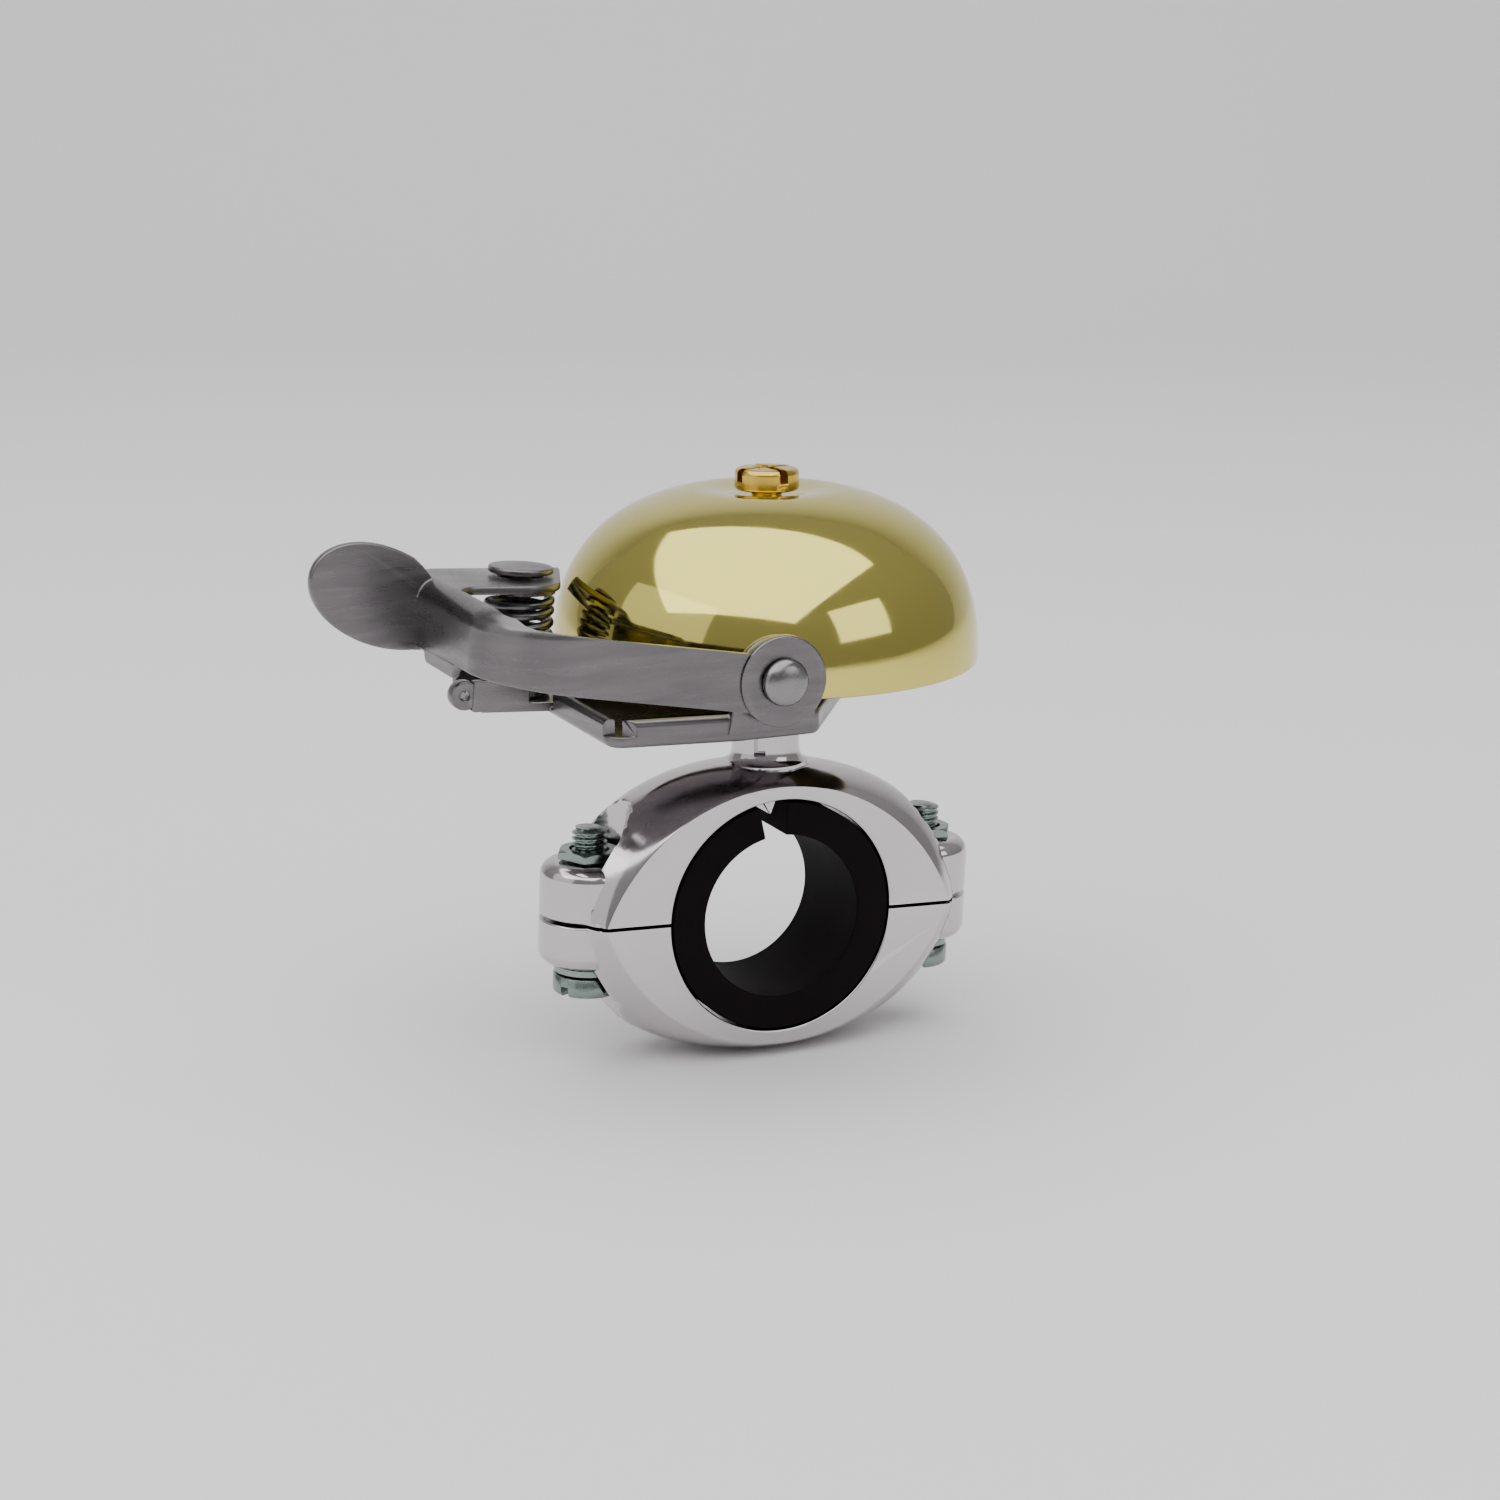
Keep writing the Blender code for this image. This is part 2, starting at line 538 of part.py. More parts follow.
def make_spring(pin_frame, look):
    """Compression spring with its end turns closed up."""
    low = SEAT_Z + 2 * FIT_GAP + SEAT_THICK + WIRE_R
    high = WEB_TOP - LEVER_SHEET - 2 * FIT_GAP - COLLAR_THICK - WIRE_R
    per_turn = 12
    count = int(SPRING_TURNS * per_turn)
    closed = 1.25 * MM
    curve = bpy.data.curves.new("return_spring", "CURVE")
    curve.dimensions = "3D"
    curve.bevel_depth = WIRE_R
    curve.bevel_resolution = 2
    curve.use_fill_caps = True
    line = curve.splines.new("POLY")
    line.points.add(count)
    for i, point in enumerate(line.points):
        turn = i / per_turn
        angle = 2 * math.pi * turn
        middle = (turn - 1.0) / (SPRING_TURNS - 2.0)
        if turn < 1.0:
            z = low + closed * turn
        elif turn > SPRING_TURNS - 1.0:
            z = high - closed * (SPRING_TURNS - turn)
        else:
            z = low + closed + (high - low - 2 * closed) * middle
        point.co = (PIN_X + SPRING_R * math.cos(angle), SPRING_R * math.sin(angle), z, 1.0)
    curve.materials.append(look)
    spring = bpy.data.objects.new("return_spring", curve)
    spring.parent = pin_frame
    bell.objects.link(spring)
    return spring


def clamp_section(angle, fullness):
    """Upper outline of the clamp from +X, 0, to -X, 180: a shallow arc at the side faces that turns into a
    fuller superellipse halfway between them.  Both run past the split."""
    radius = (FACE_HALF_LENGTH ** 2 + FACE_HALF_HEIGHT ** 2) / (2 * FACE_HALF_HEIGHT)
    drop = radius - FACE_HALF_HEIGHT
    reach = math.sqrt(radius ** 2 - (drop - SPLIT_OVERRUN) ** 2)
    across, up = math.cos(angle), math.sin(angle)
    face_x = reach * across
    face_z = math.sqrt(radius ** 2 - face_x ** 2) - drop
    full_x = math.copysign(BODY_HALF_LENGTH * abs(across) ** (2 / BODY_POWER), across)
    full_z = (BODY_HALF_HEIGHT + SPLIT_OVERRUN) * max(up, 0.0) ** (2 / BODY_POWER) - SPLIT_OVERRUN
    return face_x + (full_x - face_x) * fullness, face_z + (full_z - face_z) * fullness


def clamp_body_mesh(side):
    """Half of the clamp's body, lofted from one side face to the other."""
    stations = [-1.0, -0.96, -0.86, -0.68, -0.4, 0.0, 0.4, 0.68, 0.86, 0.96, 1.0]
    steps = 28
    bm = bmesh.new()
    rings = []
    for s in stations:
        fullness = max(1.0 - abs(s) ** 2.2, 0.0) ** BULGE_POWER
        ring = []
        for i in range(steps + 1):
            x, z = clamp_section(math.pi * i / steps, fullness)
            ring.append(bm.verts.new((x, s * CLAMP_WIDTH / 2, side * z)))
        rings.append(ring)
    for a, b in zip(rings, rings[1:]):
        for i in range(len(a)):
            j = (i + 1) % len(a)
            bm.faces.new((a[i], a[j], b[j], b[i]))
    bm.faces.new(rings[0])
    bm.faces.new(rings[-1])
    return mesh_from(bm)


def ear_mesh(x, side):
    """Round boss for a bolt, with its outer edge rounded off."""
    seat = EAR_TOP if side > 0 else -EAR_BOTTOM
    profile = [(0.0, seat)]
    profile += [(EAR_R - EAR_ROUND + u, seat - EAR_ROUND + v) for u, v in arc((0, 0), EAR_ROUND, 90, 0, 4)]
    profile += [(EAR_R, -1.5 * SPLIT_OVERRUN), (0.0, -1.5 * SPLIT_OVERRUN)]
    mesh = turned_mesh(profile, 32, (x, 0.0))
    if side < 0:
        mesh.transform(Matrix.Rotation(math.pi, 4, "X"))
    return mesh


def make_clamp_half(name, clamp_frame, look, side, root):
    """side is +1 for the half that carries the bell and -1 for the cap."""
    half = place(name, clamp_body_mesh(side), clamp_frame, look, smooth=32.0)
    seat = EAR_TOP if side > 0 else EAR_BOTTOM
    for at, x in (("left", -BOLT_X), ("right", BOLT_X)):
        pocket = rod_mesh(POCKET_R, (x, 0, seat - side * 0.5 * MM), (x, 0, seat + side * 20 * MM), 28)
        cut(half, pocket, f"pocket_{at}")
        join(half, ear_mesh(x, side), f"ear_{at}")
        cut(half, rod_mesh(BOLT_HOLE_R, (x, 0, -15 * MM), (x, 0, 15 * MM), 20), f"hole_{at}")
    if side > 0:
        flare = [(0.0, NECK_TOP), (NECK_R - 0.3 * MM, NECK_TOP), (NECK_R, NECK_TOP - 0.3 * MM),
                 (NECK_R, 21.6 * MM), (4.75 * MM, 20.8 * MM), (5.2 * MM, 20.0 * MM), (5.6 * MM, 19.6 * MM),
                 (5.6 * MM, 17.0 * MM), (0.0, 17.0 * MM)]
        groove = box_mesh((-0.55 * MM, -7.0 * MM, 20.9 * MM), (0.55 * MM, -3.1 * MM, NECK_TOP + MM))
        groove.transform(Matrix.Translation((HEAD_X, 0, 0)) @ Matrix.Rotation(math.radians(-22.0), 4, "Z"))
        thread = rod_mesh(STUD_R + FIT_GAP, (HEAD_X, 0, NECK_TOP - 8 * MM), (HEAD_X, 0, NECK_TOP + MM), 20)
        boolean(half, "UNION", place("clamp_neck", turned_mesh(flare, 32, (HEAD_X, 0.0)), root))
        boolean(half, "DIFFERENCE", place("clamp_groove", groove, root))
        boolean(half, "DIFFERENCE", place("clamp_thread", thread, root))
    bore = rod_mesh(BORE_R, (0, -12 * MM, 0), (0, 12 * MM, 0), 64)
    cut(half, bore, "bore")
    reach, low, high = 40 * MM, side * -5 * MM, side * SPLIT_GAP / 2
    cut(half, box_mesh((-reach, -reach, min(low, high)), (reach, reach, max(low, high))), "split")
    if side > 0:
        at = math.pi / 2 - SHIM_SLIT_AT
        foot = BORE_R + 0.9 * MM
        tooth = [(-1.5 * MM, foot), (0.0, BORE_R - TOOTH_HEIGHT), (1.5 * MM, foot)]
        wedge = upright(plate_mesh(tooth, -7.0 * MM, 7.0 * MM))
        wedge.transform(Matrix.Rotation(at, 4, "Y"))
        join(half, wedge, "tooth")
    return half


def make_shim(root, look):
    """Split rubber sleeve between the clamp and the handlebar."""
    start = math.degrees(SHIM_SLIT_AT + SHIM_SLIT / 2)
    end = start + 360.0 - math.degrees(SHIM_SLIT)
    outline = arc((0, 0), BORE_R - FIT_GAP, start, end, 56)
    outline += arc((0, 0), BAR_R, end, start, 56)
    half = CLAMP_WIDTH / 2
    return place("bar_shim", upright(plate_mesh(outline, -half, half)), root, look)


def make_bolt(name, x, root, look):
    """Slotted cheese-head bolt, put in from below, with its thread showing above the ear."""
    seat = EAR_BOTTOM - FIT_GAP - LOCK_WASHER - FIT_GAP
    crest = BOLT_R
    root_r = BOLT_R - THREAD_DEPTH
    profile = [(0.0, BOLT_TOP), (root_r, BOLT_TOP)]
    turns = 8
    for i in range(turns):
        z = BOLT_TOP - 0.3 * MM - i * THREAD_PITCH
        profile += [(crest, z - 0.4 * THREAD_PITCH), (root_r, z - 0.9 * THREAD_PITCH)]
    profile += [(crest, profile[-1][1] - 0.3 * MM), (crest, seat), (BOLT_HEAD_R, seat),
                (BOLT_HEAD_R, seat - BOLT_HEAD_HEIGHT + 0.5 * MM),
                (BOLT_HEAD_R - 0.6 * MM, seat - BOLT_HEAD_HEIGHT), (0.0, seat - BOLT_HEAD_HEIGHT)]
    bolt = place(name, turned_mesh(profile, 20, (x, 0.0)), root, look)
    slot = box_mesh((x - 6 * MM, -0.6 * MM, seat - BOLT_HEAD_HEIGHT - MM),
                    (x + 6 * MM, 0.6 * MM, seat - BOLT_HEAD_HEIGHT + 1.3 * MM))
    cut(bolt, slot, "slot")
    return bolt


def make_nut(name, x, root, look):
    """Low hexagon nut that rests in a pocket of the upper half, one corner pointing outwards."""
    low = EAR_TOP + FIT_GAP
    mesh = rod_mesh(NUT_R, (0, 0, low), (0, 0, low + NUT_HEIGHT), 6)
    mesh.transform(Matrix.Translation((x, 0, 0)) @ Matrix.Rotation(math.radians(30.0), 4, "Z"))
    nut = place(name, mesh, root, look)
    cut(nut, rod_mesh(BOLT_HOLE_R, (x, 0, low - MM), (x, 0, low + NUT_HEIGHT + MM), 24), "hole")
    return nut


def build():
    clear_scene()
    bpy.context.scene.collection.children.link(bell)
    bpy.context.scene.collection.children.link(cutters)
    brass = material("polished_brass", (0.62, 0.56, 0.22), 1.0, 0.12)
    amber_brass = material("amber_brass", (0.70, 0.45, 0.10), 1.0, 0.25)
    steel = material("satin_steel", (0.42, 0.41, 0.42), 1.0, 0.38)
    bright_steel = material("bright_steel", (0.60, 0.60, 0.61), 1.0, 0.25)
    spring_steel = material("spring_steel", (0.16, 0.16, 0.17), 1.0, 0.35)
    zinc = material("zinc_plate", (0.52, 0.58, 0.55), 1.0, 0.30)
    aluminium = material("polished_aluminium", (0.66, 0.62, 0.64), 1.0, 0.16)
    fibre = material("fibre", (0.20, 0.07, 0.05), 0.0, 0.75)
    rubber = material("black_rubber", (0.012, 0.010, 0.010), 0.0, 0.70)

    root = empty("bell_frame", (BAR_X, BAR_Y, BAR_Z))
    clamp_frame = empty("clamp_frame", (0, 0, 0), CLAMP_TURN, root)
    dome_frame = empty("dome_frame", (HEAD_X, 0, DOME_RIM), DOME_LEAN, root)
    pivot = empty("lever_pivot", PIVOT, LEVER_TILT, root)
    pin_frame = empty("pin_frame", PIVOT, LEVER_TILT, root)

    make_clamp_half("clamp_upper", clamp_frame, aluminium, 1, root)
    make_clamp_half("clamp_lower", clamp_frame, aluminium, -1, root)
    make_shim(clamp_frame, rubber)
    for at, x in (("left", -BOLT_X), ("right", BOLT_X)):
        make_bolt(f"clamp_bolt_{at}", x, clamp_frame, zinc)
        make_nut(f"clamp_nut_{at}", x, clamp_frame, zinc)
        low = EAR_BOTTOM - FIT_GAP - LOCK_WASHER
        mesh = ring_mesh(BOLT_HOLE_R, LOCK_WASHER_R, low, low + LOCK_WASHER, 24, (x, 0.0))
        place(f"bolt_washer_{at}", mesh, clamp_frame, zinc)
    make_bracket(root, pin_frame, steel)
    low = TRAY_BOTTOM + SHEET + FIT_GAP
    place("post_lock_washer", ring_mesh(STUD_R + 0.3 * MM, 5.0 * MM, low, low + LOCK_WASHER), root, zinc)
    make_post(root, bright_steel)
    low = POST_TOP + FIT_GAP - DOME_RIM
    mesh = ring_mesh(DOME_SCREW_R + 0.4 * MM, 5.5 * MM, low, low + 0.9 * MM, centre=(0.0, 0.0))
    place("dome_washer", mesh, dome_frame, fibre)
    make_dome(dome_frame, brass)
    make_dome_screw(dome_frame, amber_brass)
    make_lever(pivot, steel)
    make_rivet(root, bright_steel)
    make_pivot_washer(root, bright_steel)
    make_pin(pin_frame, steel)
    make_spring(pin_frame, spring_steel)
    low = SEAT_Z + FIT_GAP
    seat = ring_mesh(PIN_R + FIT_GAP, 4.5 * MM, low, low + SEAT_THICK, 24, (PIN_X, 0.0))
    place("spring_seat", seat, pin_frame, bright_steel)
    # the collar moves with the lever, so its hole leaves room for the pin to wander
    low = WEB_TOP - LEVER_SHEET - FIT_GAP - COLLAR_THICK
    collar = ring_mesh(2.8 * MM, 4.6 * MM, low, low + COLLAR_THICK, 24, (PIN_X, 0.0))
    place("spring_collar", collar, pivot, bright_steel)


build()
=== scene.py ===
"""Looks for the bicycle bell: fine visible pieces, procedural materials, a pale floor and soft light."""

import json
import math

import bmesh
import bpy
from mathutils import Matrix, Vector

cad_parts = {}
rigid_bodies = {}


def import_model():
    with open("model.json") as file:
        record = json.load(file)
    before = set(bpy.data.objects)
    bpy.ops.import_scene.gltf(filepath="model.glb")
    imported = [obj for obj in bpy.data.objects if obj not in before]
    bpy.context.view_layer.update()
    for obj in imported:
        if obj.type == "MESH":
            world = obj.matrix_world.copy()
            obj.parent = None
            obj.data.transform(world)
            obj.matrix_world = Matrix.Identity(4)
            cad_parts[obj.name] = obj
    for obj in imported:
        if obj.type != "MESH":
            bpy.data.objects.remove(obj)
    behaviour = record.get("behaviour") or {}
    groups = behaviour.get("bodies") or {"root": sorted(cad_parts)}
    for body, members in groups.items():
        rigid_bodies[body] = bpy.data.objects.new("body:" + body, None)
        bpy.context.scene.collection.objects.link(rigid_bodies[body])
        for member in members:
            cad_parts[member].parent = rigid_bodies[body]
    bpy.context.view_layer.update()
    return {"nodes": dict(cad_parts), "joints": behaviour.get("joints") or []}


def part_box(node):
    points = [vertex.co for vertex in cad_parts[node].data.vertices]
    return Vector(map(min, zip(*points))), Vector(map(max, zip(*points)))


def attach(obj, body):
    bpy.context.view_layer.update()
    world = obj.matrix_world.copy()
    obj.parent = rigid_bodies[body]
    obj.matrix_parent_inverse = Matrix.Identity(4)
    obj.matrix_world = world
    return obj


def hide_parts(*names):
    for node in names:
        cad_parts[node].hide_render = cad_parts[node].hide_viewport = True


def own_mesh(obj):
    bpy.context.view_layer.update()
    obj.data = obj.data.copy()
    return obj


for leftover in list(bpy.data.objects):
    bpy.data.objects.remove(leftover)
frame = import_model()

MM = 0.001
JOINTS = {joint["name"]: joint for joint in frame["joints"]}


def middle(node):
    low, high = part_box(node)
    return (low + high) / 2


# places, read from the frame
BAR = middle("bar_shim")                                   # centre of the handlebar's bore
PIVOT = Vector(JOINTS["lever_press"]["pos_m"])
CLAMP_TURN = math.atan2(-JOINTS["cap_open"]["axis"][0], -JOINTS["cap_open"]["axis"][2])
LEVER_TILT = math.radians(4.0)
DOME_LEAN = math.radians(0.7)
HEAD_X = 1.4 * MM                                          # the bell's head from the bore, along X
DOME_RIM = 33.8 * MM


def turned_frame(origin, tilt):
    return Matrix.Translation(origin) @ Matrix.Rotation(tilt, 4, "Y")


AT_BAR = Matrix.Translation(BAR)
AT_CLAMP = turned_frame(BAR, CLAMP_TURN)
AT_DOME = turned_frame(BAR + Vector((HEAD_X, 0, DOME_RIM)), DOME_LEAN)
AT_LEVER = turned_frame(Vector((PIVOT.x, BAR.y, PIVOT.z)), LEVER_TILT)

# sizes shared with the frame's solids
BORE_R = 15.9 * MM
CLAMP_WIDTH = 17.0 * MM
FACE_HALF_LENGTH = 25.0 * MM
FACE_HALF_HEIGHT = 17.7 * MM
BODY_HALF_LENGTH = 28.0 * MM
BODY_HALF_HEIGHT = 19.7 * MM
BODY_POWER = 2.25
BULGE_POWER = 0.85
SPLIT_GAP = 0.5 * MM
SPLIT_OVERRUN = 1.0 * MM
BOLT_X = 24.5 * MM
EAR_R = 6.5 * MM
EAR_TOP = 7.5 * MM
EAR_BOTTOM = -6.5 * MM
EAR_ROUND = 2.0 * MM
POCKET_R = 5.3 * MM
BOLT_R = 2.35 * MM
BOLT_HOLE_R = 2.65 * MM
BOLT_TOP = 11.9 * MM
BOLT_HEAD_R = 4.4 * MM
BOLT_HEAD_HEIGHT = 2.7 * MM
BOLT_SLOT_HALF = 0.6 * MM
BOLT_SLOT_DEPTH = 1.3 * MM
THREAD_PITCH = 0.8 * MM
THREAD_DEPTH = 0.45 * MM
LOCK_WASHER = 0.8 * MM
NUT_R = 4.4 * MM
NUT_HEIGHT = 1.2 * MM
FIT_GAP = 0.3 * MM
NECK_R = 4.55 * MM
NECK_TOP = 29.65 * MM
NECK_FOOT = 1.05 * MM
GROOVE_HALF = 0.8 * MM
GROOVE_AT = math.radians(-34.0)
STUD_R = 2.2 * MM
SHIM_BORE_R = 11.1 * MM
SHIM_SLIT = math.radians(15.0)
SHIM_SLIT_AT = math.radians(97.0)
TOOTH_HEIGHT = 2.2 * MM
SHEET = 1.2 * MM
TRAY_BOTTOM = 29.95 * MM
TRAY_RIM = 33.4 * MM

DOME_R = 28.3 * MM
DOME_WALL = 1.3 * MM
DOME_HEIGHT = 23.2 * MM
DOME_POWER = 2.5
DOME_FLAT = 1.5 * MM
DOME_FLAT_R = 11.0 * MM
DOME_SCREW_R = 2.0 * MM
DOME_HEAD_R = 4.25 * MM
DOME_HEAD_HEIGHT = 3.0 * MM
POST_TOP = 52.6 * MM

LEVER_SHEET = 1.1 * MM
ARM_FACE = -31.7 * MM
ARM_BOTTOM = -4.35 * MM
ARM_TOP = 2.95 * MM
ARM_SLOPE = 0.109
YOKE_FRONT = -37.3 * MM
YOKE_FAR = 8.4 * MM
NEAR_CORNER = 11.0 * MM
FAR_CORNER = 5.0 * MM
BEND = 2.6 * MM
WEB_TOP = 8.0 * MM
LIP_BOTTOM = 5.4 * MM
APRON_BOTTOM = -2.1 * MM
WAIST_BOTTOM = -0.8 * MM
OPENING_X = -34.7 * MM
OPENING_CORNER = 4.8 * MM
WEB_NEAR = -8.0 * MM
WEB_END = -20.6 * MM
NOSE_X = -15.4 * MM
EYE_R = 5.75 * MM
EYE_SWELL = 0.30 * MM
PIVOT_HOLE_R = 2.1 * MM
RIVET_HEAD_R = 3.0 * MM
RIVET_R = 1.75 * MM
PADDLE_X = -41.65 * MM
PADDLE_FACE = -1.5 * MM
PADDLE_Z = 5.53 * MM
PADDLE_LENGTH = 10.17 * MM
PADDLE_HEIGHT = 6.24 * MM
PADDLE_EGG = 0.057
PADDLE_DROOP = math.radians(-21.1)
PADDLE_THICK = 1.4 * MM
PIN_X = -23.2 * MM
PIN_R = 1.5 * MM
PIN_HEAD_R = 4.2 * MM
PIN_HEAD_BOTTOM = 8.5 * MM
PIN_HEAD_THICK = 0.8 * MM
SEAT_Z = -7.3 * MM
SEAT_THICK = 0.7 * MM
COLLAR_THICK = 0.6 * MM
SPRING_R = 3.95 * MM
WIRE_R = 0.62 * MM
SPRING_TURNS = 7.0


# how far edges are rounded over
LEVER_EDGE = 0.28 * MM
BRACKET_EDGE = 0.22 * MM
CLAMP_EDGE = 0.3 * MM
SHIM_EDGE = 0.25 * MM

# the light tent's brightness, and the camera
TENT_SIDE = 0.30
TENT_TOP = 0.42
CAMERA_AZIMUTH = math.radians(-23.9)                       # from -Y towards +X
CAMERA_ELEVATION = math.radians(13.75)
CAMERA_ROLL = math.radians(-0.18)
CAMERA_DISTANCE = 428.9 * MM
CAMERA_TARGET = BAR + Vector((-0.72, 0.32, 20.9)) * MM
LENS = 76.8


# ---------------------------------------------------------------- mesh tools

def evaluated(obj):
    bpy.context.view_layer.update()
    depsgraph = bpy.context.evaluated_depsgraph_get()
    return bpy.data.meshes.new_from_object(obj.evaluated_get(depsgraph))


def linked(name, data):
    obj = bpy.data.objects.new(name, data)
    bpy.context.scene.collection.objects.link(obj)
    return obj


def mesh_from(bm):
    made = bpy.data.meshes.new("mesh")
    bmesh.ops.recalc_face_normals(bm, faces=bm.faces)
    bm.to_mesh(made)
    bm.free()
    return made


def box_mesh(low, high):
    low, high = Vector(low), Vector(high)
    bm = bmesh.new()
    place_at = Matrix.Translation((low + high) / 2) @ Matrix.Diagonal((*(high - low), 1.0))
    bmesh.ops.create_cube(bm, size=1.0, matrix=place_at)
    return mesh_from(bm)


def rod_mesh(radius, start, end, segments=64):
    start, end = Vector(start), Vector(end)
    along = end - start
    turn = along.to_track_quat("Z", "Y").to_matrix().to_4x4()
    bm = bmesh.new()
    bmesh.ops.create_cone(bm, cap_ends=True, segments=segments, radius1=radius, radius2=radius,
                          depth=along.length, matrix=Matrix.Translation((start + end) / 2) @ turn)
    return mesh_from(bm)


def turned_mesh(profile, segments=96, centre=(0.0, 0.0), closed=False):
    """Turn (radius, height) points, given top to bottom down the outer side, about Z."""
    outline = bpy.data.meshes.new("profile")
    edges = [(i, i + 1) for i in range(len(profile) - 1)]
    if closed:
        edges.append((len(profile) - 1, 0))
    outline.from_pydata([(r, 0.0, z) for r, z in profile], edges, [])
    spun = linked("spun", outline)
    screw = spun.modifiers.new("turn", "SCREW")
    screw.axis = "Z"
    screw.steps = screw.render_steps = segments
    screw.use_merge_vertices = True
    screw.merge_threshold = 0.00001
    made = evaluated(spun)
    bpy.data.objects.remove(spun)
    made.transform(Matrix.Translation((*centre, 0.0)))
    return made


def plate_mesh(outline, low, high):
    """A flat outline in XY, filled and extruded from one height to the other."""
    bm = bmesh.new()
    ring = [bm.verts.new((x, y, low)) for x, y in outline]
    face = bm.faces.new(ring)
    lifted = bmesh.ops.extrude_face_region(bm, geom=[face])
    verts = [v for v in lifted["geom"] if isinstance(v, bmesh.types.BMVert)]
    bmesh.ops.translate(bm, verts=verts, vec=(0.0, 0.0, high - low))
    return mesh_from(bm)


def upright(mesh):
    mesh.transform(Matrix.Rotation(math.pi / 2, 4, "X"))
    return mesh


def endways(mesh):
    mesh.transform(Matrix(((0, 0, 1, 0), (1, 0, 0, 0), (0, 1, 0, 0), (0, 0, 0, 1))))
    return mesh


def moved(mesh, matrix):
    mesh.transform(matrix)
    return mesh


def arc(centre, radius, start, end, steps):
    angles = [math.radians(start + (end - start) * i / steps) for i in range(steps + 1)]
    return [(centre[0] + radius * math.cos(a), centre[1] + radius * math.sin(a)) for a in angles]


def rounded(corners, steps=8):
    """An outline whose corners, given as (x, y, radius), are rounded."""
    points = []
    for i, (x, y, radius) in enumerate(corners):
        here = Vector((x, y))
        if radius <= 0.0:
            points.append((x, y))
            continue
        before = (Vector(corners[i - 1][:2]) - here).normalized()
        after = (Vector(corners[(i + 1) % len(corners)][:2]) - here).normalized()
        half = before.angle(after) / 2
        centre = here + (before + after).normalized() * (radius / math.sin(half))
        reach = radius / math.tan(half)
        first = here + before * reach - centre
        turn = first.angle_signed(here + after * reach - centre)
        for k in range(steps + 1):
            spoke = first.copy()
            spoke.rotate(Matrix.Rotation(-turn * k / steps, 2))
            points.append(tuple(centre + spoke))
    return points


def in_order(mesh):
    """Orders vertices and faces by their places alone, because a boolean's own order varies by run."""
    places = [tuple(vert.co) for vert in mesh.vertices]
    order = sorted(range(len(places)), key=places.__getitem__)
    rank = {old: new for new, old in enumerate(order)}
    faces = []
    for face in mesh.polygons:
        ring = [rank[i] for i in face.vertices]
        first = ring.index(min(ring))
        faces.append(ring[first:] + ring[:first])
    made = bpy.data.meshes.new("ordered")
    made.from_pydata([places[i] for i in order], [], sorted(faces))
    return made


def welded(mesh, distance=0.000002):
    bm = bmesh.new()
    bm.from_mesh(in_order(mesh))
    bmesh.ops.remove_doubles(bm, verts=bm.verts, dist=distance)
    bmesh.ops.dissolve_degenerate(bm, edges=bm.edges, dist=distance / 2)
    bm.to_mesh(mesh)
    bm.free()
    return in_order(mesh)


def carved(base, steps):
    """Joins meshes to a base or cuts them away, in order, and welds the seam after each step."""
    for operation, mesh in steps:
        work, tool = linked("work", base), linked("tool", mesh)
        step = work.modifiers.new("step", "BOOLEAN")
        step.operation = operation
        step.solver = "EXACT"
        step.object = tool
        base = welded(evaluated(work))
        bpy.data.objects.remove(work)
        bpy.data.objects.remove(tool)
    return base


def bevelled(mesh, width, segments=3, angle=35.0, clean=True):
    """Rounds the edges that are sharper than the angle, leaving out those that end in a sliver."""
    limit = math.radians(angle)
    bm = bmesh.new()
    bm.from_mesh(mesh)
    if clean:
        bmesh.ops.remove_doubles(bm, verts=bm.verts, dist=0.000004)
        bmesh.ops.dissolve_limit(bm, angle_limit=math.radians(0.4), verts=bm.verts, edges=bm.edges)
    # a dict keeps the mesh's own order, which a set doesn't, so every run bevels alike
    sharp = dict.fromkeys(edge for edge in bm.edges
                          if edge.is_manifold and edge.calc_face_angle(0.0) > limit)

    def has_room(edge):
        for vert in edge.verts:
            along = (edge.other_vert(vert).co - vert.co).normalized()
            for other in vert.link_edges:
                if other is edge:
                    continue
                way = (other.other_vert(vert).co - vert.co).normalized()
                in_line = other in sharp and along.dot(way) < -0.85
                if not in_line and other.calc_length() < 1.3 * width:
                    return False
        return True

    chosen = [edge for edge in sharp if has_room(edge)]
    bmesh.ops.bevel(bm, geom=chosen, offset=width, offset_type="OFFSET", segments=segments, profile=0.5,
                    affect="EDGES", clamp_overlap=False, miter_outer="ARC")
    made = bpy.data.meshes.new("rounded")
    bm.to_mesh(made)
    bm.free()
    return welded(made)


def paint_dome_inside_shade(material, centre, colour):
    """Painted shade inside the dome: faces that look at its middle get a dark painted-shade base colour, and
    a higher roughness for an unpolished inside.
    """
    tree = material.node_tree
    nodes, links = tree.nodes, tree.links
    shader = nodes["Principled BSDF"]
    geometry = nodes.new("ShaderNodeNewGeometry")
    offset = nodes.new("ShaderNodeVectorMath")
    offset.operation = "SUBTRACT"
    offset.inputs[1].default_value = centre
    links.new(geometry.outputs["Position"], offset.inputs[0])
    facing = nodes.new("ShaderNodeVectorMath")
    facing.operation = "DOT_PRODUCT"
    links.new(offset.outputs["Vector"], facing.inputs[0])
    links.new(geometry.outputs["True Normal"], facing.inputs[1])
    inside_shade_mask = maths(tree, "LESS_THAN", facing.outputs["Value"], 0.0)
    # painted shade: the inside's base colour is swapped for a dark shade colour; its roughness is raised for
    # a matte inside
    for name, shade_and_matte in (("Base Color", (*colour, 1.0)), ("Roughness", 0.55)):
        before = shader.inputs[name].links[0].from_socket
        blend = nodes.new("ShaderNodeMix")
        blend.data_type = "RGBA" if name == "Base Color" else "FLOAT"
        sockets = [i for i in blend.inputs if i.enabled]
        links.new(inside_shade_mask, sockets[0])
        links.new(before, sockets[1])
        sockets[2].default_value = shade_and_matte
        links.new([o for o in blend.outputs if o.enabled][0], shader.inputs[name])


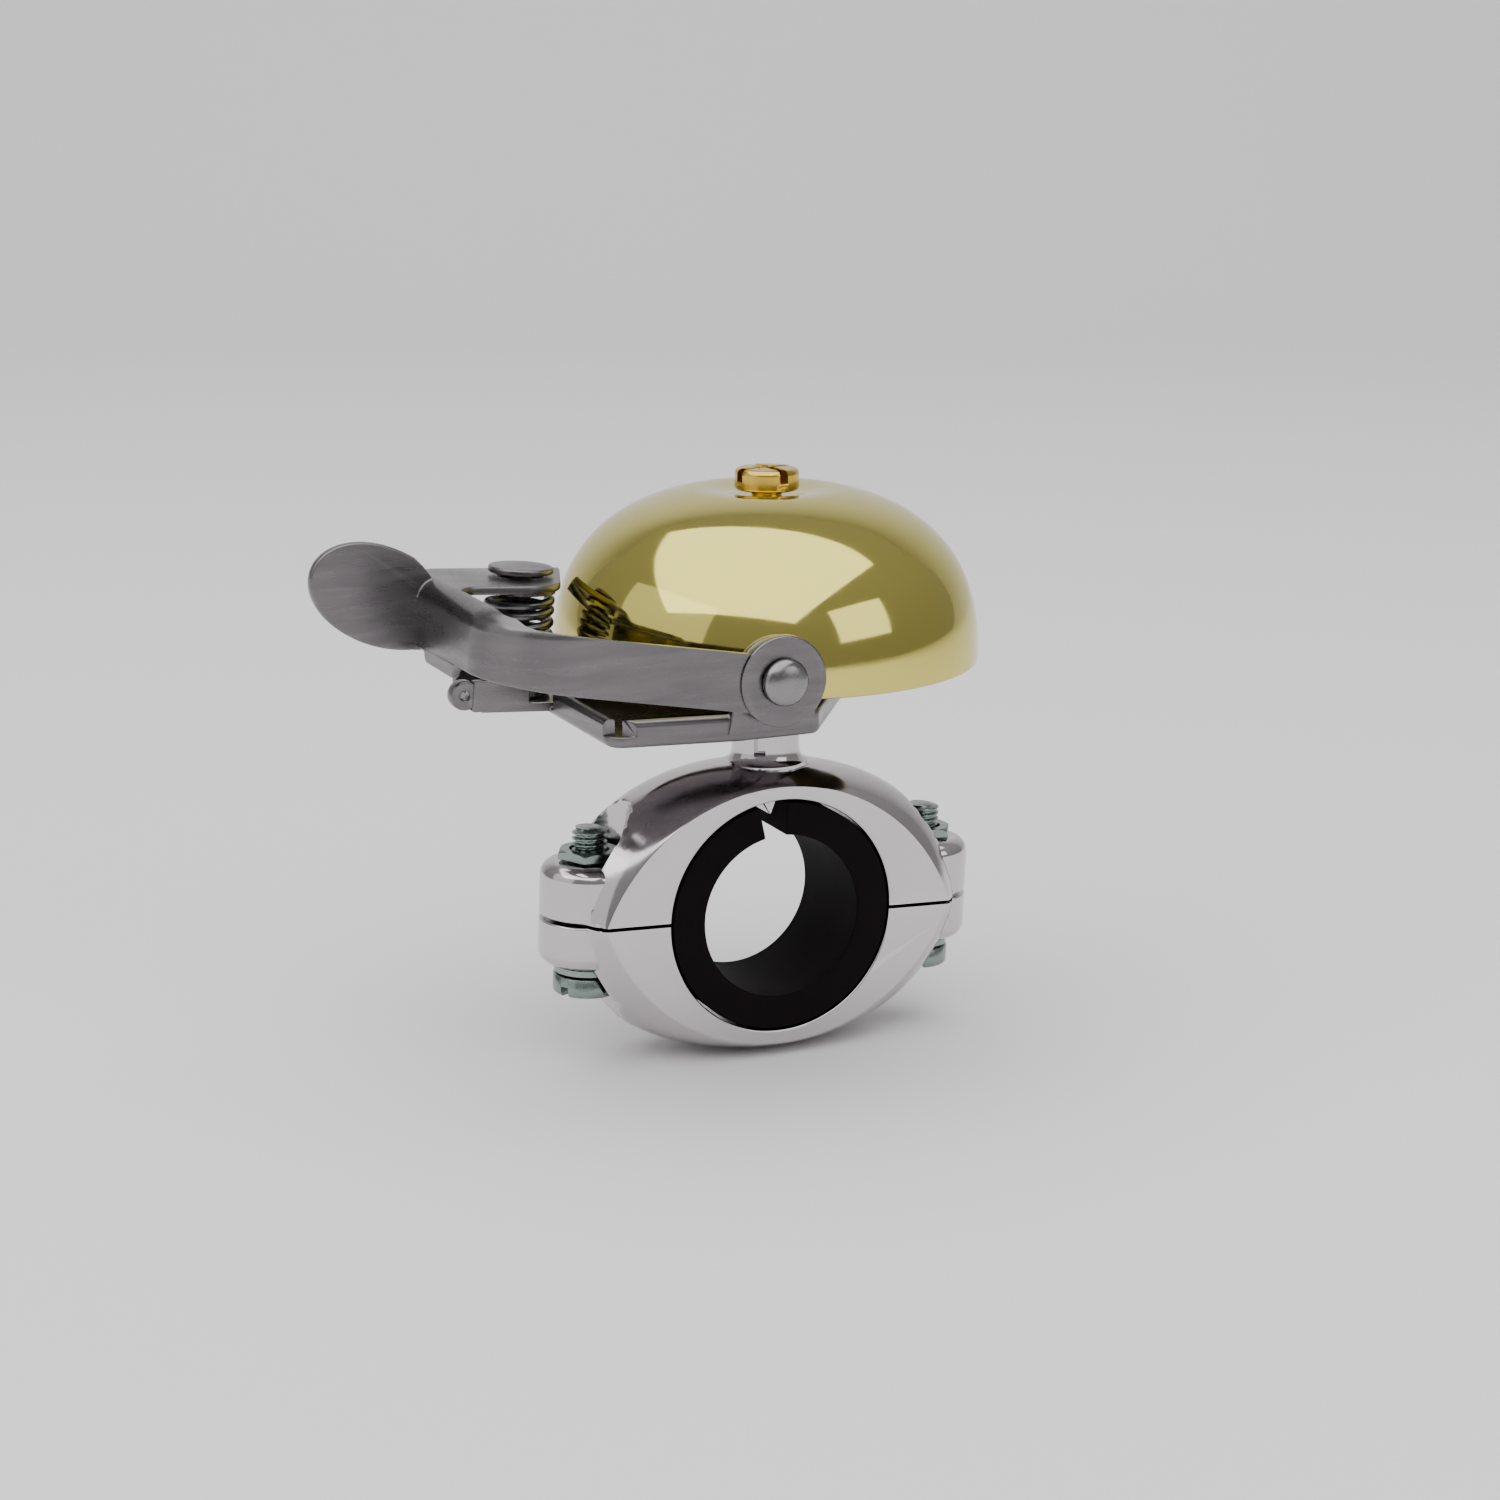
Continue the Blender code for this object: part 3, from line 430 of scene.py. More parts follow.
def show(name, mesh, matrix, body, node, material, smooth=35.0, weighted=True):
    """Puts a finished mesh in its place as a piece that stands for a CAD node and rides on its body."""
    mesh.transform(matrix)
    mesh.name = name
    mesh.materials.clear()
    mesh.materials.append(material)
    mesh.shade_smooth()
    mesh.set_sharp_from_angle(angle=math.radians(smooth))
    piece = linked(name, mesh)
    if weighted:
        step = piece.modifiers.new("normals", "WEIGHTED_NORMAL")
        step.keep_sharp = True
    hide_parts(node)
    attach(piece, body)
    return piece


def dress(node, material):
    """Gives a CAD node that is shown as it is its material."""
    obj = frame["nodes"][node]
    obj.data.materials.clear()
    obj.data.materials.append(material)
    return obj


# ---------------------------------------------------------------- materials

def maths(tree, operation, *values):
    """A maths node whose inputs are numbers or other nodes' outputs; gives back its output."""
    node = tree.nodes.new("ShaderNodeMath")
    node.operation = operation
    for socket, value in zip(node.inputs, values):
        if isinstance(value, (int, float)):
            socket.default_value = value
        else:
            tree.links.new(value, socket)
    return node.outputs["Value"]


def ramp_between(tree, value, low, high):
    node = tree.nodes.new("ShaderNodeMapRange")
    node.interpolation_type = "SMOOTHSTEP"
    node.inputs["From Min"].default_value = low
    node.inputs["From Max"].default_value = high
    tree.links.new(value, node.inputs["Value"])
    return node.outputs["Result"]


def metal(name, colour, roughness, grain=0.0, grain_scale=400.0, stretch=(1, 1, 1), scratches=0.02,
          mottle=0.06, mottle_scale=90.0, bump=0.00002, second=None, wear=0.0, streak=0.0):
    """A metal with fine grain, faint scratches, uneven polish and a slight drift in colour."""
    made = bpy.data.materials.new(name)
    made.use_nodes = True
    tree = made.node_tree
    nodes, links = tree.nodes, tree.links
    shader = nodes["Principled BSDF"]
    shader.inputs["Metallic"].default_value = 1.0
    place = nodes.new("ShaderNodeTexCoord")
    stretched = nodes.new("ShaderNodeMapping")
    stretched.inputs["Scale"].default_value = stretch
    links.new(place.outputs["Object"], stretched.inputs["Vector"])

    cloud = nodes.new("ShaderNodeTexNoise")
    cloud.inputs["Scale"].default_value = mottle_scale
    cloud.inputs["Detail"].default_value = 3.0
    links.new(place.outputs["Object"], cloud.inputs["Vector"])
    tint = nodes.new("ShaderNodeMixRGB")
    other = second or tuple(c * (1.0 - mottle) for c in colour)
    tint.inputs["Color1"].default_value = (*colour, 1.0)
    tint.inputs["Color2"].default_value = (*other, 1.0)
    links.new(cloud.outputs["Fac"], tint.inputs["Fac"])

    fine = nodes.new("ShaderNodeTexNoise")
    fine.inputs["Scale"].default_value = grain_scale
    fine.inputs["Detail"].default_value = 4.0
    fine.inputs["Roughness"].default_value = 0.65
    links.new(stretched.outputs["Vector"], fine.inputs["Vector"])
    polish = nodes.new("ShaderNodeMapRange")
    polish.inputs["From Min"].default_value = 0.3
    polish.inputs["From Max"].default_value = 0.7
    polish.inputs["To Min"].default_value = max(roughness - scratches - grain, 0.02)
    polish.inputs["To Max"].default_value = roughness + scratches + grain
    links.new(fine.outputs["Fac"], polish.inputs["Value"])
    links.new(polish.outputs["Result"], shader.inputs["Roughness"])

    relief = nodes.new("ShaderNodeBump")
    relief.inputs["Strength"].default_value = 0.35
    relief.inputs["Distance"].default_value = bump
    links.new(fine.outputs["Fac"], relief.inputs["Height"])
    links.new(relief.outputs["Normal"], shader.inputs["Normal"])

    colour_out = tint.outputs["Color"]
    if streak > 0.0:
        lines = nodes.new("ShaderNodeMapping")
        lines.inputs["Scale"].default_value = (0.12, 0.12, 1.0)
        links.new(place.outputs["Object"], lines.inputs["Vector"])
        band = nodes.new("ShaderNodeTexNoise")
        band.inputs["Scale"].default_value = 520.0
        band.inputs["Detail"].default_value = 3.0
        links.new(lines.outputs["Vector"], band.inputs["Vector"])
        shade = nodes.new("ShaderNodeMapRange")
        shade.inputs["From Min"].default_value = 0.35
        shade.inputs["From Max"].default_value = 0.65
        shade.inputs["To Min"].default_value = 1.0 - streak
        shade.inputs["To Max"].default_value = 1.0 + streak
        links.new(band.outputs["Fac"], shade.inputs["Value"])
        drawn = nodes.new("ShaderNodeVectorMath")
        drawn.operation = "SCALE"
        links.new(colour_out, drawn.inputs[0])
        links.new(shade.outputs["Result"], drawn.inputs["Scale"])
        colour_out = drawn.outputs["Vector"]
    if wear > 0.0:
        geometry = nodes.new("ShaderNodeNewGeometry")
        edge = nodes.new("ShaderNodeMapRange")
        edge.inputs["From Min"].default_value = 0.51
        edge.inputs["From Max"].default_value = 0.60
        links.new(geometry.outputs["Pointiness"], edge.inputs["Value"])
        amount = nodes.new("ShaderNodeMath")
        amount.operation = "MULTIPLY"
        amount.inputs[1].default_value = wear
        links.new(edge.outputs["Result"], amount.inputs[0])
        bright = nodes.new("ShaderNodeMixRGB")
        bright.inputs["Color2"].default_value = (*(min(c * 1.6, 1.0) for c in colour), 1.0)
        links.new(amount.outputs["Value"], bright.inputs["Fac"])
        links.new(colour_out, bright.inputs["Color1"])
        colour_out = bright.outputs["Color"]
    links.new(colour_out, shader.inputs["Base Color"])
    return made


def soft_black(name, colour, roughness):
    """Moulded rubber: nearly black, with a fine moulded texture and a dusty sheen."""
    made = bpy.data.materials.new(name)
    made.use_nodes = True
    nodes, links = made.node_tree.nodes, made.node_tree.links
    shader = nodes["Principled BSDF"]
    shader.inputs["Specular IOR Level"].default_value = 0.06
    place = nodes.new("ShaderNodeTexCoord")
    cloud = nodes.new("ShaderNodeTexNoise")
    cloud.inputs["Scale"].default_value = 180.0
    cloud.inputs["Detail"].default_value = 6.0
    links.new(place.outputs["Object"], cloud.inputs["Vector"])
    tint = nodes.new("ShaderNodeMixRGB")
    tint.inputs["Color1"].default_value = (*colour, 1.0)
    tint.inputs["Color2"].default_value = (*(c * 2.2 for c in colour), 1.0)
    links.new(cloud.outputs["Fac"], tint.inputs["Fac"])
    links.new(tint.outputs["Color"], shader.inputs["Base Color"])
    pores = nodes.new("ShaderNodeTexNoise")
    pores.inputs["Scale"].default_value = 2600.0
    links.new(place.outputs["Object"], pores.inputs["Vector"])
    relief = nodes.new("ShaderNodeBump")
    relief.inputs["Strength"].default_value = 0.3
    relief.inputs["Distance"].default_value = 0.00003
    links.new(pores.outputs["Fac"], relief.inputs["Height"])
    links.new(relief.outputs["Normal"], shader.inputs["Normal"])
    rough = nodes.new("ShaderNodeMapRange")
    rough.inputs["To Min"].default_value = roughness - 0.08
    rough.inputs["To Max"].default_value = roughness + 0.08
    links.new(cloud.outputs["Fac"], rough.inputs["Value"])
    links.new(rough.outputs["Result"], shader.inputs["Roughness"])
    return made


BRASS = metal("polished_brass", (0.66, 0.57, 0.15), 0.07, grain=0.01, grain_scale=250, scratches=0.015,
              second=(0.62, 0.56, 0.14), mottle_scale=35.0, bump=0.000006)
AMBER = metal("amber_brass", (0.68, 0.42, 0.09), 0.20, grain=0.05, second=(0.60, 0.44, 0.06),
              mottle_scale=300.0, bump=0.00003)
STEEL = metal("satin_steel", (0.175, 0.165, 0.17), 0.30, grain=0.05, grain_scale=900.0,
              stretch=(0.12, 0.12, 1.0), scratches=0.04, second=(0.155, 0.145, 0.152), mottle_scale=45.0,
              bump=0.00001, wear=0.35, streak=0.10)
BRIGHT_STEEL = metal("bright_steel", (0.25, 0.24, 0.245), 0.26, grain=0.04, grain_scale=700.0,
                     scratches=0.04, bump=0.00001, wear=0.2)
SPRING_STEEL = metal("spring_steel", (0.13, 0.13, 0.135), 0.30, grain=0.05, grain_scale=900.0,
                     stretch=(1, 1, 0.1), bump=0.00001)
ZINC = metal("zinc_plate", (0.26, 0.30, 0.28), 0.25, grain=0.08, grain_scale=500.0,
             second=(0.15, 0.21, 0.19), mottle_scale=220.0, bump=0.00002, wear=0.25)
ALUMINIUM = metal("polished_aluminium", (0.58, 0.545, 0.56), 0.12, grain=0.03, grain_scale=300.0,
                  scratches=0.03, second=(0.51, 0.475, 0.495), mottle_scale=60.0, bump=0.00002, wear=0.3)
RUBBER = soft_black("black_rubber", (0.0035, 0.0022, 0.0028), 0.66)
FIBRE = soft_black("fibre", (0.16, 0.05, 0.035), 0.75)


# ---------------------------------------------------------------- dome and its screw

def dome_point(angle, inset):
    """A point of the dome's wall; the angle runs from the crown, 90, down to the rim, 0."""
    across = (DOME_R - inset) * max(math.cos(angle), 0.0) ** (2 / DOME_POWER)
    up = (DOME_HEIGHT - inset) * max(math.sin(angle), 0.0) ** (2 / DOME_POWER)
    flat = DOME_FLAT * max(1.0 - (across / DOME_FLAT_R) ** 2, 0.0) ** 2
    return across, up - flat


def make_dome():
    hole = DOME_SCREW_R + 0.4 * MM
    steps = 72
    angles = [math.radians(90 - 90 * (i / steps) ** 0.9) for i in range(steps + 1)]
    outer = [dome_point(a, 0.0) for a in angles]
    inner = [dome_point(a, DOME_WALL) for a in reversed(angles)]
    outer[0] = (hole, outer[0][1])
    inner[-1] = (hole, inner[-1][1])
    # the rim is rounded over
    rim_in, rim_out = inner[0][0], outer[-1][0]
    half = (rim_out - rim_in) / 2
    lip = [(rim_in + half + half * math.cos(t), 0.35 * MM - 0.35 * MM * math.sin(t))
           for t in (math.pi * i / 10 for i in range(11))]
    profile = [p for p in outer if p[1] > 0.4 * MM] + lip + [p for p in inner if p[1] > 0.4 * MM]
    mesh = turned_mesh(profile, 192, closed=True)
    return show("brass_dome", mesh, AT_DOME, "mount", "bell_dome", BRASS, 60.0, False)


def make_dome_screw():
    """Round head with a cross slot, its edges slightly rounded."""
    crown = DOME_HEIGHT - DOME_FLAT * (1.0 - (DOME_HEAD_R / DOME_FLAT_R) ** 2) ** 2
    bottom = crown + 0.2 * MM
    top = bottom + DOME_HEAD_HEIGHT
    edge = 0.75 * MM
    shoulder = [(0.0, top), (DOME_HEAD_R * 0.5, top - 0.04 * MM), (DOME_HEAD_R - edge, top - 0.12 * MM)]
    shoulder += arc((DOME_HEAD_R - edge, top - 0.12 * MM - edge), edge, 80, 0, 8)
    tip = POST_TOP - DOME_RIM - 6.0 * MM
    profile = shoulder + [(DOME_HEAD_R, bottom + 0.35 * MM), (DOME_HEAD_R - 0.1 * MM, bottom + 0.1 * MM),
                          (DOME_HEAD_R - 0.4 * MM, bottom), (DOME_SCREW_R, bottom), (DOME_SCREW_R, tip),
                          (0.0, tip)]
    reach, half, depth = 6.0 * MM, 0.6 * MM, 1.8 * MM
    slots = [("DIFFERENCE", box_mesh((-x, -y, top - depth), (x, y, top + MM)))
             for x, y in ((reach, half), (half, reach))]
    mesh = bevelled(carved(turned_mesh(profile, 72), slots), 0.18 * MM, 3, 40.0)
    turn = Matrix.Rotation(math.radians(8.0), 4, "Z")
    return show("cross_slot_screw", mesh, AT_DOME @ turn, "mount", "dome_screw", AMBER, 50.0)


# ---------------------------------------------------------------- lever

def lever_outline(inset):
    near, front, far = ARM_FACE + inset, YOKE_FRONT + inset, YOKE_FAR - inset
    end = 12.0 * MM
    return rounded([(end, near, 0), (front, near, NEAR_CORNER - inset), (front, far, FAR_CORNER - inset),
                    (end, far, 0)], steps=24)


def paddle_outline():
    """The thumb paddle's egg, down to the short waist that turns into the yoke's front wall."""
    points = []
    steps = 120
    for i in range(steps):
        angle = 2 * math.pi * i / steps
        along = PADDLE_LENGTH * math.cos(angle)
        across = PADDLE_HEIGHT * (1.0 - PADDLE_EGG * math.cos(angle)) * math.sin(angle)
        x = PADDLE_X + along * math.cos(PADDLE_DROOP) - across * math.sin(PADDLE_DROOP)
        z = PADDLE_Z + along * math.sin(PADDLE_DROOP) + across * math.cos(PADDLE_DROOP)
        if x < YOKE_FRONT - 0.4 * MM:
            points.append((x, z))
    upper = [p for p in points if p[1] > PADDLE_Z + 2 * MM or p[0] < PADDLE_X - 5 * MM]
    start = points.index(upper[0])
    points = points[start:] + points[:start]
    inside = YOKE_FRONT + LEVER_SHEET - 0.3 * MM
    points += [(inside, -1.15 * MM), (inside, 5.2 * MM), (YOKE_FRONT + 2.0 * MM, 7.0 * MM),
               (YOKE_FRONT + 1.9 * MM, WEB_TOP - 0.2 * MM), (YOKE_FRONT + 0.5 * MM, WEB_TOP + 1.6 * MM)]
    return points


def make_lever():
    """One pressing: eye, arm, yoke, web with a striking nose, and the thumb paddle."""
    big = 60.0 * MM
    block = bevelled(plate_mesh(lever_outline(0.0), ARM_BOTTOM - 4 * MM, WEB_TOP), BEND, 12, 60.0, False)
    inside = plate_mesh(lever_outline(LEVER_SHEET), ARM_BOTTOM - 6 * MM, WEB_TOP - LEVER_SHEET)
    inside = bevelled(inside, BEND - LEVER_SHEET, 10, 60.0, False)
    below = [(big, ARM_BOTTOM), (0.0, ARM_BOTTOM), (-big, ARM_BOTTOM + ARM_SLOPE * big), (-big, -big),
             (big, -big)]
    arm_inside = ARM_FACE + BEND - 0.06 * MM
    opening = rounded([
        (OPENING_X, WEB_NEAR, 3.0 * MM), (OPENING_X, arm_inside, OPENING_CORNER), (big, arm_inside, 0),
        (big, big, 0), (WEB_END - 4 * MM, big, 0), (WEB_END - 4 * MM, YOKE_FAR + 0.2 * MM, 0),
        (NOSE_X, YOKE_FAR + 0.2 * MM, 1.0 * MM), (NOSE_X, YOKE_FAR - 1.8 * MM, 0.8 * MM),
        (WEB_END, WEB_NEAR, 6.0 * MM)], steps=16)
    wall_end = PADDLE_FACE + PADDLE_THICK - 0.1 * MM
    apron = rounded([(-19.0 * MM, 0.0, 0), (-16.5 * MM, -0.5 * MM, 2.0 * MM), (-15.2 * MM, APRON_BOTTOM, MM),
                     (-5.0 * MM, APRON_BOTTOM, MM), (-4.2 * MM, WAIST_BOTTOM, 0.5 * MM),
                     (wall_end, WAIST_BOTTOM, 0), (wall_end, 3.0 * MM, 0), (-19.0 * MM, 3.0 * MM, 0)])
    wall_low, wall_high = YOKE_FRONT + 0.02 * MM, YOKE_FRONT + LEVER_SHEET - 0.02 * MM
    far = box_mesh((-big, PADDLE_FACE + PADDLE_THICK - 0.05 * MM, -big), (big, big, LIP_BOTTOM))
    side = [(big, ARM_TOP), (0.0, ARM_TOP)]
    side += [(x, ARM_TOP - ARM_SLOPE * x) for x in (-16 * MM, -31.5 * MM)]
    side += [(-33.0 * MM, 6.9 * MM), (-34.2 * MM, WEB_TOP), (-34.6 * MM, 12 * MM), (big, 12 * MM)]
    eye_face = ARM_FACE - EYE_SWELL
    eye = rod_mesh(EYE_R, (0, eye_face, 0), (0, ARM_FACE + LEVER_SHEET + 0.05 * MM, 0), 96)
    hollow = [(0.0, MM), (4.9 * MM, MM), (4.6 * MM, 0.0), (3.4 * MM, -0.22 * MM), (0.0, -0.22 * MM)]
    dish = turned_mesh(hollow, 96)
    dish.transform(Matrix.Translation((0, eye_face, 0)) @ Matrix.Rotation(math.pi / 2, 4, "X"))
    hole = [(x + PIN_X, y) for x, y in arc((0.9 * MM, 0), 2.1 * MM, -90, 90, 16)]
    hole += [(x + PIN_X, y) for x, y in arc((-0.9 * MM, 0), 2.1 * MM, 90, 270, 16)]
    paddle = upright(plate_mesh(paddle_outline(), -PADDLE_FACE - PADDLE_THICK, -PADDLE_FACE))
    mesh = carved(block, [
        ("DIFFERENCE", inside),
        ("DIFFERENCE", upright(plate_mesh(below, -big, big))),
        ("DIFFERENCE", plate_mesh(opening, ARM_BOTTOM - 5 * MM, WEB_TOP + 3 * MM)),
        ("UNION", endways(plate_mesh(apron, wall_low, wall_high))),
        ("DIFFERENCE", far),
        ("DIFFERENCE", upright(plate_mesh(side, 12.0 * MM, 40 * MM))),
        ("DIFFERENCE", box_mesh((-2.0 * MM, -big, -big), (big, big, big))),
        ("UNION", eye),
        ("DIFFERENCE", dish),
        ("DIFFERENCE", rod_mesh(PIVOT_HOLE_R, (0, ARM_FACE - MM, 0), (0, ARM_FACE + 3 * MM, 0), 48)),
        ("DIFFERENCE", plate_mesh(hole, 0.0, WEB_TOP + 3 * MM)),
        ("UNION", paddle),
    ])
    mesh = bevelled(mesh, LEVER_EDGE, 3, 38.0)
    return show("thumb_lever", mesh, AT_LEVER, "lever", "lever", STEEL, 40.0)


def make_spring():
    low = SEAT_Z + 2 * FIT_GAP + SEAT_THICK + WIRE_R
    high = WEB_TOP - LEVER_SHEET - 2 * FIT_GAP - COLLAR_THICK - WIRE_R
    per_turn = 40
    closed = 1.25 * MM
    count = int(SPRING_TURNS * per_turn)
    curve = bpy.data.curves.new("spring", "CURVE")
    curve.dimensions = "3D"
    curve.bevel_depth = WIRE_R
    curve.bevel_resolution = 6
    curve.use_fill_caps = True
    line = curve.splines.new("POLY")
    line.points.add(count)
    for i, point in enumerate(line.points):
        turn = i / per_turn
        angle = 2 * math.pi * turn
        if turn < 1.0:
            z = low + closed * turn
        elif turn > SPRING_TURNS - 1.0:
            z = high - closed * (SPRING_TURNS - turn)
        else:
            z = low + closed + (high - low - 2 * closed) * (turn - 1.0) / (SPRING_TURNS - 2.0)
        point.co = (PIN_X + SPRING_R * math.cos(angle), SPRING_R * math.sin(angle), z, 1.0)
    coil = linked("coil", curve)
    mesh = welded(evaluated(coil))
    bpy.data.objects.remove(coil)
    piece = show("coil_spring", mesh, AT_LEVER, "mount", "return_spring", SPRING_STEEL, 60.0,
                 False)
    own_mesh(piece)
    return piece


def make_pin():
    low = SEAT_Z - SHEET - FIT_GAP
    top = PIN_HEAD_BOTTOM + PIN_HEAD_THICK
    edge = 0.3 * MM
    profile = [(0.0, top + 0.05 * MM), (PIN_HEAD_R * 0.6, top + 0.03 * MM), (PIN_HEAD_R - edge, top)]
    profile += arc((PIN_HEAD_R - edge, top - edge), edge, 80, 0, 6)
    profile += [(PIN_HEAD_R, PIN_HEAD_BOTTOM + 0.1 * MM), (PIN_HEAD_R - 0.1 * MM, PIN_HEAD_BOTTOM),
                (PIN_R, PIN_HEAD_BOTTOM), (PIN_R, low), (2.4 * MM, low), (2.2 * MM, low - 0.4 * MM),
                (1.2 * MM, low - 0.75 * MM), (0.0, low - 0.8 * MM)]
    mesh = turned_mesh(profile, 64, (PIN_X, 0.0))
    return show("guide_pin_round", mesh, AT_LEVER, "mount", "guide_pin", STEEL, 50.0, False)


def make_rivet():
    """Pivot pin whose head is a shallow round button."""
    head_face = ARM_FACE - 0.36 * MM
    tail = -28.35 * MM
    length = tail - head_face
    profile = [(RIVET_HEAD_R * math.cos(t) ** 0.85, 0.25 * MM + 1.40 * MM * math.sin(t))
               for t in (math.pi / 2 * (1 - i / 20) for i in range(21))]
    profile[0] = (0.0, profile[0][1])
    profile += [(2.95 * MM, 0.0), (RIVET_R, 0.0), (RIVET_R, -length), (0.0, -length)]
    mesh = turned_mesh(profile, 72)
    mesh.transform(Matrix.Translation((0, head_face, 0)) @ Matrix.Rotation(math.pi / 2, 4, "X"))
    at = Matrix.Translation((PIVOT.x, BAR.y, PIVOT.z))
    return show("pivot_button", mesh, at, "mount", "pivot_rivet", BRIGHT_STEEL, 50.0, False)


# ---------------------------------------------------------------- bracket

def tray_corners(inset):
    corners = [(-4.6, -29.5), (-15.0, -29.5), (-31.4, -26.7), (-31.4, 13.0), (-8.0, 14.5), (9.5, 9.0),
               (9.5, -9.0)]
    radii = [1.5, 6.0, 2.5, 4.0, 8.0, 5.0, 5.0]
    points = [Vector(c) * MM for c in corners]
    placed = []
    for i, here in enumerate(points):
        before = (here - points[i - 1]).normalized()
        after = (points[(i + 1) % len(points)] - here).normalized()
        normal = Vector((before.y, -before.x)) + Vector((after.y, -after.x))
        shift = normal * (inset / (1.0 + before.dot(after)))
        placed.append((*(here + shift), max(radii[i] * MM - inset, 0.3 * MM)))
    return placed


def make_bracket():
    """Pressed steel tray under the dome, with the pivot's ear and the tongue that holds the pin."""
    tray = plate_mesh(rounded(tray_corners(0.0), 10), TRAY_BOTTOM, TRAY_RIM)
    tray = bevelled(tray, 0.9 * MM, 6, 60.0, False)
    notch = [(-34.0 * MM, -29.0 * MM), (-26.5 * MM, -29.0 * MM), (-29.9 * MM, -25.2 * MM),
             (-34.0 * MM, -23.0 * MM)]
    pivot = AT_BAR.inverted() @ PIVOT
    px, pz = pivot.x, pivot.z
    ear = arc((px, pz), 5.3 * MM, -10, 190, 40)
    ear += [(px - 6.5 * MM, TRAY_BOTTOM + 1.0 * MM), (px + 5.2 * MM, TRAY_BOTTOM + 1.0 * MM)]
    face = -29.5 * MM
    floor = TRAY_BOTTOM + SHEET
    to_pin = AT_BAR.inverted() @ AT_LEVER
    low, side = SEAT_Z - SHEET, 6.2 * MM
    wall = side - SHEET
    lug = Vector((PIN_X - 8.9 * MM, 0.0, SEAT_Z + 1.0 * MM))
    cheek_top = SEAT_Z + 2.9 * MM
    base = box_mesh((PIN_X - 6.6 * MM, -side, low), (PIN_X + 5.4 * MM, side, SEAT_Z))
    near = box_mesh((lug.x + MM, -side, low + 0.1 * MM), (PIN_X - 0.2 * MM, -wall, cheek_top))
    distant = box_mesh((PIN_X - 6.4 * MM, wall, low + 0.1 * MM), (PIN_X - 0.2 * MM, side, cheek_top))
    curl = rod_mesh(1.9 * MM, (lug.x, -side + 0.05 * MM, lug.z), (lug.x, -wall + 0.6 * MM, lug.z), 48)
    curl_hole = rod_mesh(0.6 * MM, (lug.x, -7 * MM, lug.z), (lug.x, 7 * MM, lug.z), 24)
    pin_hole = rod_mesh(PIN_R + 0.35 * MM, (PIN_X, 0, low - 3 * MM), (PIN_X, 0, SEAT_Z + MM), 40)
    mesh = carved(tray, [
        ("DIFFERENCE", plate_mesh(rounded(tray_corners(SHEET), 10), floor, TRAY_RIM + 5 * MM)),
        ("DIFFERENCE", plate_mesh(notch, TRAY_BOTTOM + 1.5 * MM, TRAY_RIM + MM)),
        ("UNION", upright(plate_mesh(ear, -face - 1.15 * MM, -face))),
        ("DIFFERENCE", rod_mesh(PIVOT_HOLE_R, (px, face - MM, pz), (px, face + 3 * MM, pz), 40)),
        ("DIFFERENCE", rod_mesh(STUD_R + 0.4 * MM, (HEAD_X, 0, TRAY_BOTTOM - MM),
                                (HEAD_X, 0, TRAY_RIM), 40)),
        ("DIFFERENCE", box_mesh((-35 * MM, -6.8 * MM, floor), (-29 * MM, 6.8 * MM, TRAY_RIM + MM))),
        ("UNION", moved(base, to_pin)), ("UNION", moved(near, to_pin)), ("UNION", moved(distant, to_pin)),
        ("UNION", moved(curl, to_pin)), ("DIFFERENCE", moved(curl_hole, to_pin)),
        ("DIFFERENCE", moved(pin_hole, to_pin)),
    ])
    mesh = bevelled(mesh, BRACKET_EDGE, 3, 38.0)
    return show("pressed_bracket", mesh, AT_BAR, "mount", "base_bracket", STEEL, 40.0)


# ---------------------------------------------------------------- clamp

def clamp_section(angle, fullness):
    """Upper outline of the clamp: a shallow arc at the side faces, fuller halfway between them."""
    radius = (FACE_HALF_LENGTH ** 2 + FACE_HALF_HEIGHT ** 2) / (2 * FACE_HALF_HEIGHT)
    drop = radius - FACE_HALF_HEIGHT
    reach = math.sqrt(radius ** 2 - (drop - SPLIT_OVERRUN) ** 2)
    across, up = math.cos(angle), math.sin(angle)
    face_x = reach * across
    face_z = math.sqrt(radius ** 2 - face_x ** 2) - drop
    full_x = math.copysign(BODY_HALF_LENGTH * abs(across) ** (2 / BODY_POWER), across)
    full_z = (BODY_HALF_HEIGHT + SPLIT_OVERRUN) * max(up, 0.0) ** (2 / BODY_POWER) - SPLIT_OVERRUN
    return face_x + (full_x - face_x) * fullness, face_z + (full_z - face_z) * fullness


def clamp_body_mesh(side):
    """Half of the clamp's body, lofted from one side face to the other."""
    stations = [math.sin(math.pi / 2 * k / 16) for k in range(-16, 17)]
    steps = 96
    bm = bmesh.new()
    rings = []
    for s in stations:
        fullness = max(1.0 - abs(s) ** 2.2, 0.0) ** BULGE_POWER
        ring = []
        for i in range(steps + 1):
            x, z = clamp_section(math.pi * i / steps, fullness)
            ring.append(bm.verts.new((x, s * CLAMP_WIDTH / 2, side * z)))
        rings.append(ring)
    for a, b in zip(rings, rings[1:]):
        for i in range(len(a)):
            j = (i + 1) % len(a)
            bm.faces.new((a[i], a[j], b[j], b[i]))
    bm.faces.new(rings[0])
    bm.faces.new(rings[-1])
    return mesh_from(bm)


def ear_mesh(x, side):
    seat = EAR_TOP if side > 0 else -EAR_BOTTOM
    profile = [(0.0, seat)]
    profile += [(EAR_R - EAR_ROUND + u, seat - EAR_ROUND + v) for u, v in arc((0, 0), EAR_ROUND, 90, 0, 14)]
    profile += [(EAR_R, -1.5 * SPLIT_OVERRUN), (0.0, -1.5 * SPLIT_OVERRUN)]
    mesh = turned_mesh(profile, 96, (x, 0.0))
    if side < 0:
        mesh.transform(Matrix.Rotation(math.pi, 4, "X"))
    return mesh


